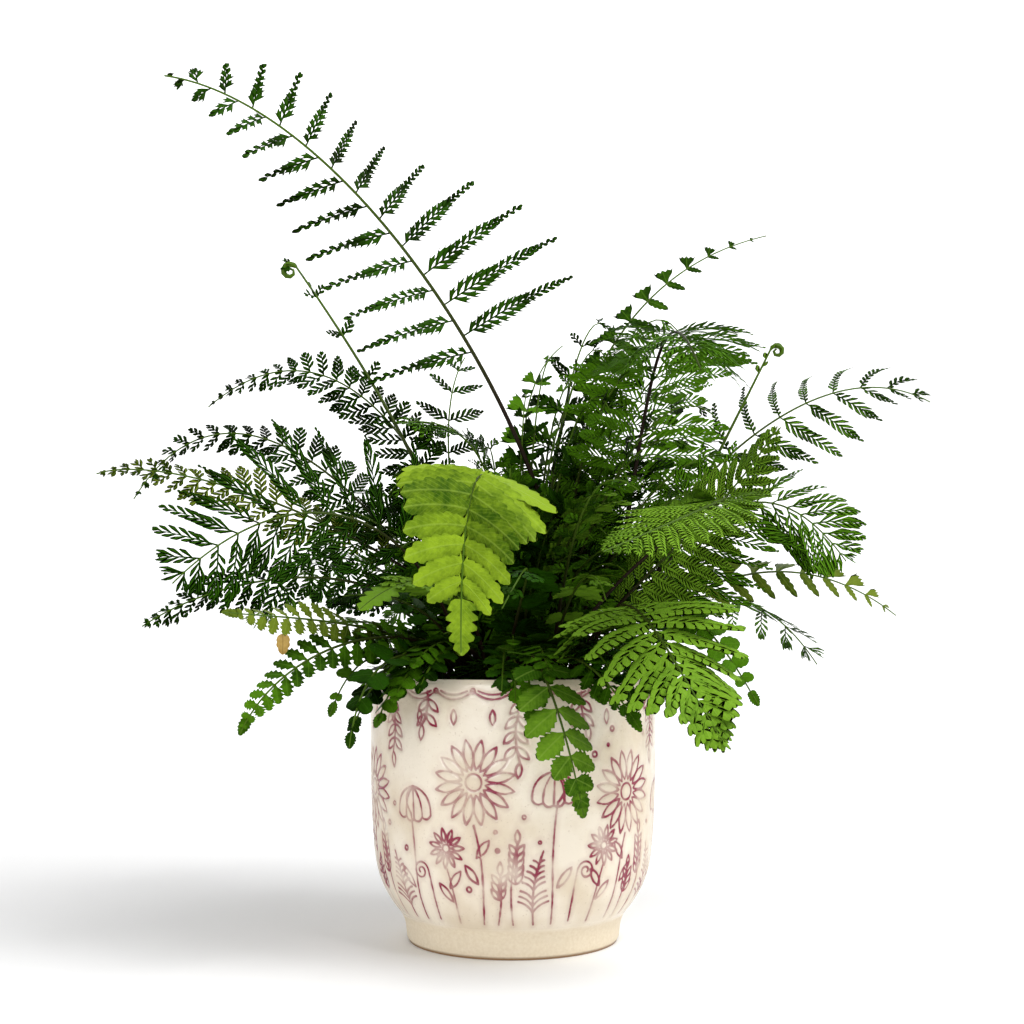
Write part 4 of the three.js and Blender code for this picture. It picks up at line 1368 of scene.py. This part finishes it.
# %% Inner fronds
LOW_LOOKS = [
    "feather dark spoons", "round dark oak", "feather mid spoons", "feather dark forked",
    "plume mid open", "round mid oak",
]
HIGH_LOOKS = ["plume mid spoons", "feather mid spoons", "feather dark spoons"]
DOMES = [
    dict(middle=(4, 14, 112), reach=(108, 74, 150), batches=6, looks=LOW_LOOKS),
    dict(middle=(72, 22, 200), reach=(60, 58, 112), batches=3, looks=HIGH_LOOKS),
    dict(middle=(-42, 8, 160), reach=(78, 60, 96), batches=2, looks=HIGH_LOOKS[1:]),
]
PER_BATCH = 8
GOLDEN_ANGLE = 137.5
LOWEST_LEVEL, LEVEL_SPAN = 0.06, 0.9
TIP_SHARES = (0.72, 0.98)
ROUND_BELOW = 0.45
ROUND_SIZES, LONG_SIZES = (14, 19), (24, 34)
FIRST_INNER = 100
SOIL_LEVEL = 112
GREENS = ["dark", "mid", "fresh", "olive"]


def short_frond(style, x, y, *arch, **more):
    """A frond without a solid, from the crown over the points of its arch."""
    kind, green, look = style.split()
    midrib = [(0.2 * x, 0.2 * y, SOIL_LEVEL), *arch]
    return dict(midrib=midrib, kind=kind, green=green, look=look, dense=1, **more)


def inner_frond(dome, number):
    """One of the fronds whose tips are spread over a dome."""
    level = LOWEST_LEVEL + LEVEL_SPAN * (number + 0.5) / (dome["batches"] * PER_BATCH)
    angle = math.radians(GOLDEN_ANGLE * number)
    out = math.sqrt(1 - level**2)
    share = dice.uniform(*TIP_SHARES)
    ways = (out * math.sin(angle), out * math.cos(angle), level)
    spread = zip(dome["middle"], dome["reach"], ways)
    x, y, top = [at + share * reach * way for at, reach, way in spread]
    style = dome["looks"][number % len(dome["looks"])]
    whole = style.startswith("round")
    if level > ROUND_BELOW and whole:
        style, whole = f"feather {style.split()[1]} needles", False
    rise = top - FOOT_LEVEL
    low, high = FOOT_LEVEL + 0.75 * rise, top + 0.2 * rise
    arch = [(0.3 * x, 0.3 * y, low), (0.75 * x, 0.75 * y, high), (x, y, top)]
    pairs, sizes = (7, ROUND_SIZES) if whole else (8, LONG_SIZES)
    return short_frond(
        style, x, y, *arch, pairs=pairs, leaflet=dice.uniform(*sizes), bare=0.3,
        turn=dice.uniform(-50, 50), fullest=0.35, droop=0.3,
    )


def gather(name, fronds, first):
    """One piece of several fronds, with a leaf and a stalk material for each green. The number of the
    first decides how its leaflets vary."""
    parts = []
    for number, frond in enumerate(fronds):
        for *part, slot in frond_parts("inner", frond, first + number):
            parts.append((*part, slot + 2 * GREENS.index(frond["green"])))
    materials = [material for green in GREENS for material in (LEAVES[green], stalk)]
    piece = make_piece(name, parts, materials)
    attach(piece, "root")
    print(f"{name}: {len(piece.data.polygons)} triangles")


batch = 0
for dome in DOMES:
    fronds = [inner_frond(dome, number) for number in range(dome["batches"] * PER_BATCH)]
    for start in range(0, len(fronds), PER_BATCH):
        batch += 1
        first = FIRST_INNER + PER_BATCH * batch
        gather(f"fern_inner_{batch}", fronds[start : start + PER_BATCH], first)

# %% [markdown]
# ## Sprigs at the rim and in the middle
# Small fronds with round leaflets lean over the pot's rim, and a few others show in the gaps of the
# middle. Chance would put them where the photograph has none. So each is given by its tip, and rises
# from the crown and over the rim to it.

# %% Sprigs
SPRIGS = {
    "rim_left": [
        (-55, -82, 130, "round mid rounded"), (-66, -84, 115, "round dark rounded"),
        (-71, -78, 104, "round dark rounded"), (-44, -84, 132, "round mid rounded"),
        (-75, -70, 144, "round dark crenate"), (-85, -50, 163, "broad dark crenate"),
        (-92, -62, 150, "round mid crenate"), (-52, -86, 117, "round mid rounded"),
        (-41, -90, 121, "round dark rounded"), (-60, -82, 106, "round mid rounded"),
    ],
    "rim_front": [
        (-5, -86, 122, "round dark crenate"), (0, -76, 142, "round mid rounded"),
        (16, -88, 126, "round mid rounded"), (44, -82, 128, "round dark crenate"),
        (27, -84, 142, "round mid rounded"), (58, -72, 130, "round dark rounded"),
        (90, -24, 142, "round mid crenate"), (108, 0, 150, "round dark rounded"),
        (1, -88, 117, "round mid crenate"), (38, -86, 117, "round mid crenate"),
        (52, -80, 119, "round dark rounded"), (8, -92, 108, "round mid crenate"),
    ],
    "middle": [
        (46, -72, 209, "round fresh oak"), (53, -70, 205, "round fresh oak"),
        (24, 30, 291, "wedge dark wedge"), (9, 20, 272, "wedge dark wedge"),
        (40, 36, 282, "wedge mid wedge"), (33, -64, 181, "feather dark spoons"),
        (52, -54, 172, "feather mid spoons"), (14, -70, 169, "feather dark oak"),
        (60, -62, 186, "feather mid spoons"),
    ],
}
LEAST_RISE, OVER_TIP = 150, 6
RIM_SIZES, MIDDLE_SIZES = (13, 16), (9, 12)
FIRST_SPRIG = 200


def sprig(x, y, top, style, sizes):
    """A small frond that rises from the crown, passes over the rim and ends at (x, y, top)."""
    over = max(top + OVER_TIP, LEAST_RISE)
    arch = [(0.35 * x, 0.35 * y, over), (0.8 * x, 0.8 * y, over), (x, y, top)]
    return short_frond(
        style, x, y, *arch, pairs=7, leaflet=dice.uniform(*sizes), bare=0.5,
        turn=dice.uniform(-30, 30), fullest=0.3, droop=0.1, short=0.9, tip=(8, 3.2),
    )


for number, (place, tips) in enumerate(SPRIGS.items()):
    sizes = MIDDLE_SIZES if place == "middle" else RIM_SIZES
    gather("fern_sprigs_" + place, [sprig(*row, sizes) for row in tips], FIRST_SPRIG + 10 * number)

# %% [markdown]
# ## Studio
# The floor is a pale sheet that sweeps up into the backdrop. A soft lamp is high on the right and in
# front, a weaker one low in front on the left, and a third lights the backdrop. The pale surroundings
# fill the rest. A box of four walls would show its edges in the picture, and a sweep has none.

# %% Floor and backdrop
SHEET, SHEET_RISE = 6, 4
BACK_EDGE = 2.9
SWEEP, SWEEP_STEPS = 1.2, 16


def choose_edges(piece, test):
    """Selects the edges whose two ends pass the test, in edit mode."""
    bpy.ops.mesh.select_all(action="DESELECT")
    bpy.ops.object.mode_set(mode="OBJECT")
    for edge in piece.data.edges:
        edge.select = all(test(piece.data.vertices[end].co) for end in edge.vertices)
    bpy.ops.object.mode_set(mode="EDIT")


bpy.ops.object.select_all(action="DESELECT")
bpy.ops.mesh.primitive_plane_add(size=SHEET, location=(0, 0, 0))
floor = bpy.context.object
floor.name = "studio_floor"
bpy.ops.object.mode_set(mode="EDIT")
bpy.ops.mesh.select_mode(type="EDGE")
choose_edges(floor, lambda co: co.y > BACK_EDGE)
bpy.ops.mesh.extrude_region_move(TRANSFORM_OT_translate={"value": (0, 0, SHEET_RISE)})
choose_edges(floor, lambda co: co.y > BACK_EDGE and co.z < TINY)
bpy.ops.mesh.bevel(offset=SWEEP, segments=SWEEP_STEPS)
bpy.ops.object.mode_set(mode="OBJECT")
bpy.ops.object.shade_smooth()
paper = new_material("paper_white", Roughness=0.9, Base_Color=linear("#eeeeee"))[0]
floor.data.materials.append(paper)

# %% Lamps
world = bpy.data.worlds.new("studio")
bpy.context.scene.world = world
world.use_nodes = True
surroundings = world.node_tree.nodes["Background"].inputs
surroundings["Color"].default_value = (1, 1, 1, 1)
surroundings["Strength"].default_value = 0.5


def add_lamp(name, place, aim, size, watts):
    """A square soft lamp at a place, turned towards another."""
    bpy.ops.object.light_add(type="AREA", location=place)
    lamp = bpy.context.object
    lamp.name = name
    lamp.data.size = size
    lamp.data.energy = watts
    way = np.array(aim) - np.array(place)
    tilt = math.atan2(math.hypot(way[0], way[1]), -way[2])
    lamp.rotation_euler = (tilt, 0, math.atan2(way[0], -way[1]) + math.pi)


add_lamp("lamp_key", (0.75, -0.5, 1.3), (0, 0, 0.2), 0.8, 24)
add_lamp("lamp_fill", (-0.7, -1.5, 0.45), (0, 0, 0.2), 0.7, 9)
add_lamp("lamp_backdrop", (0, 1.9, 2.0), (0, 2.9, 0.8), 2.0, 50)

# %% Finish
bpy.context.scene.view_settings.view_transform = "Standard"
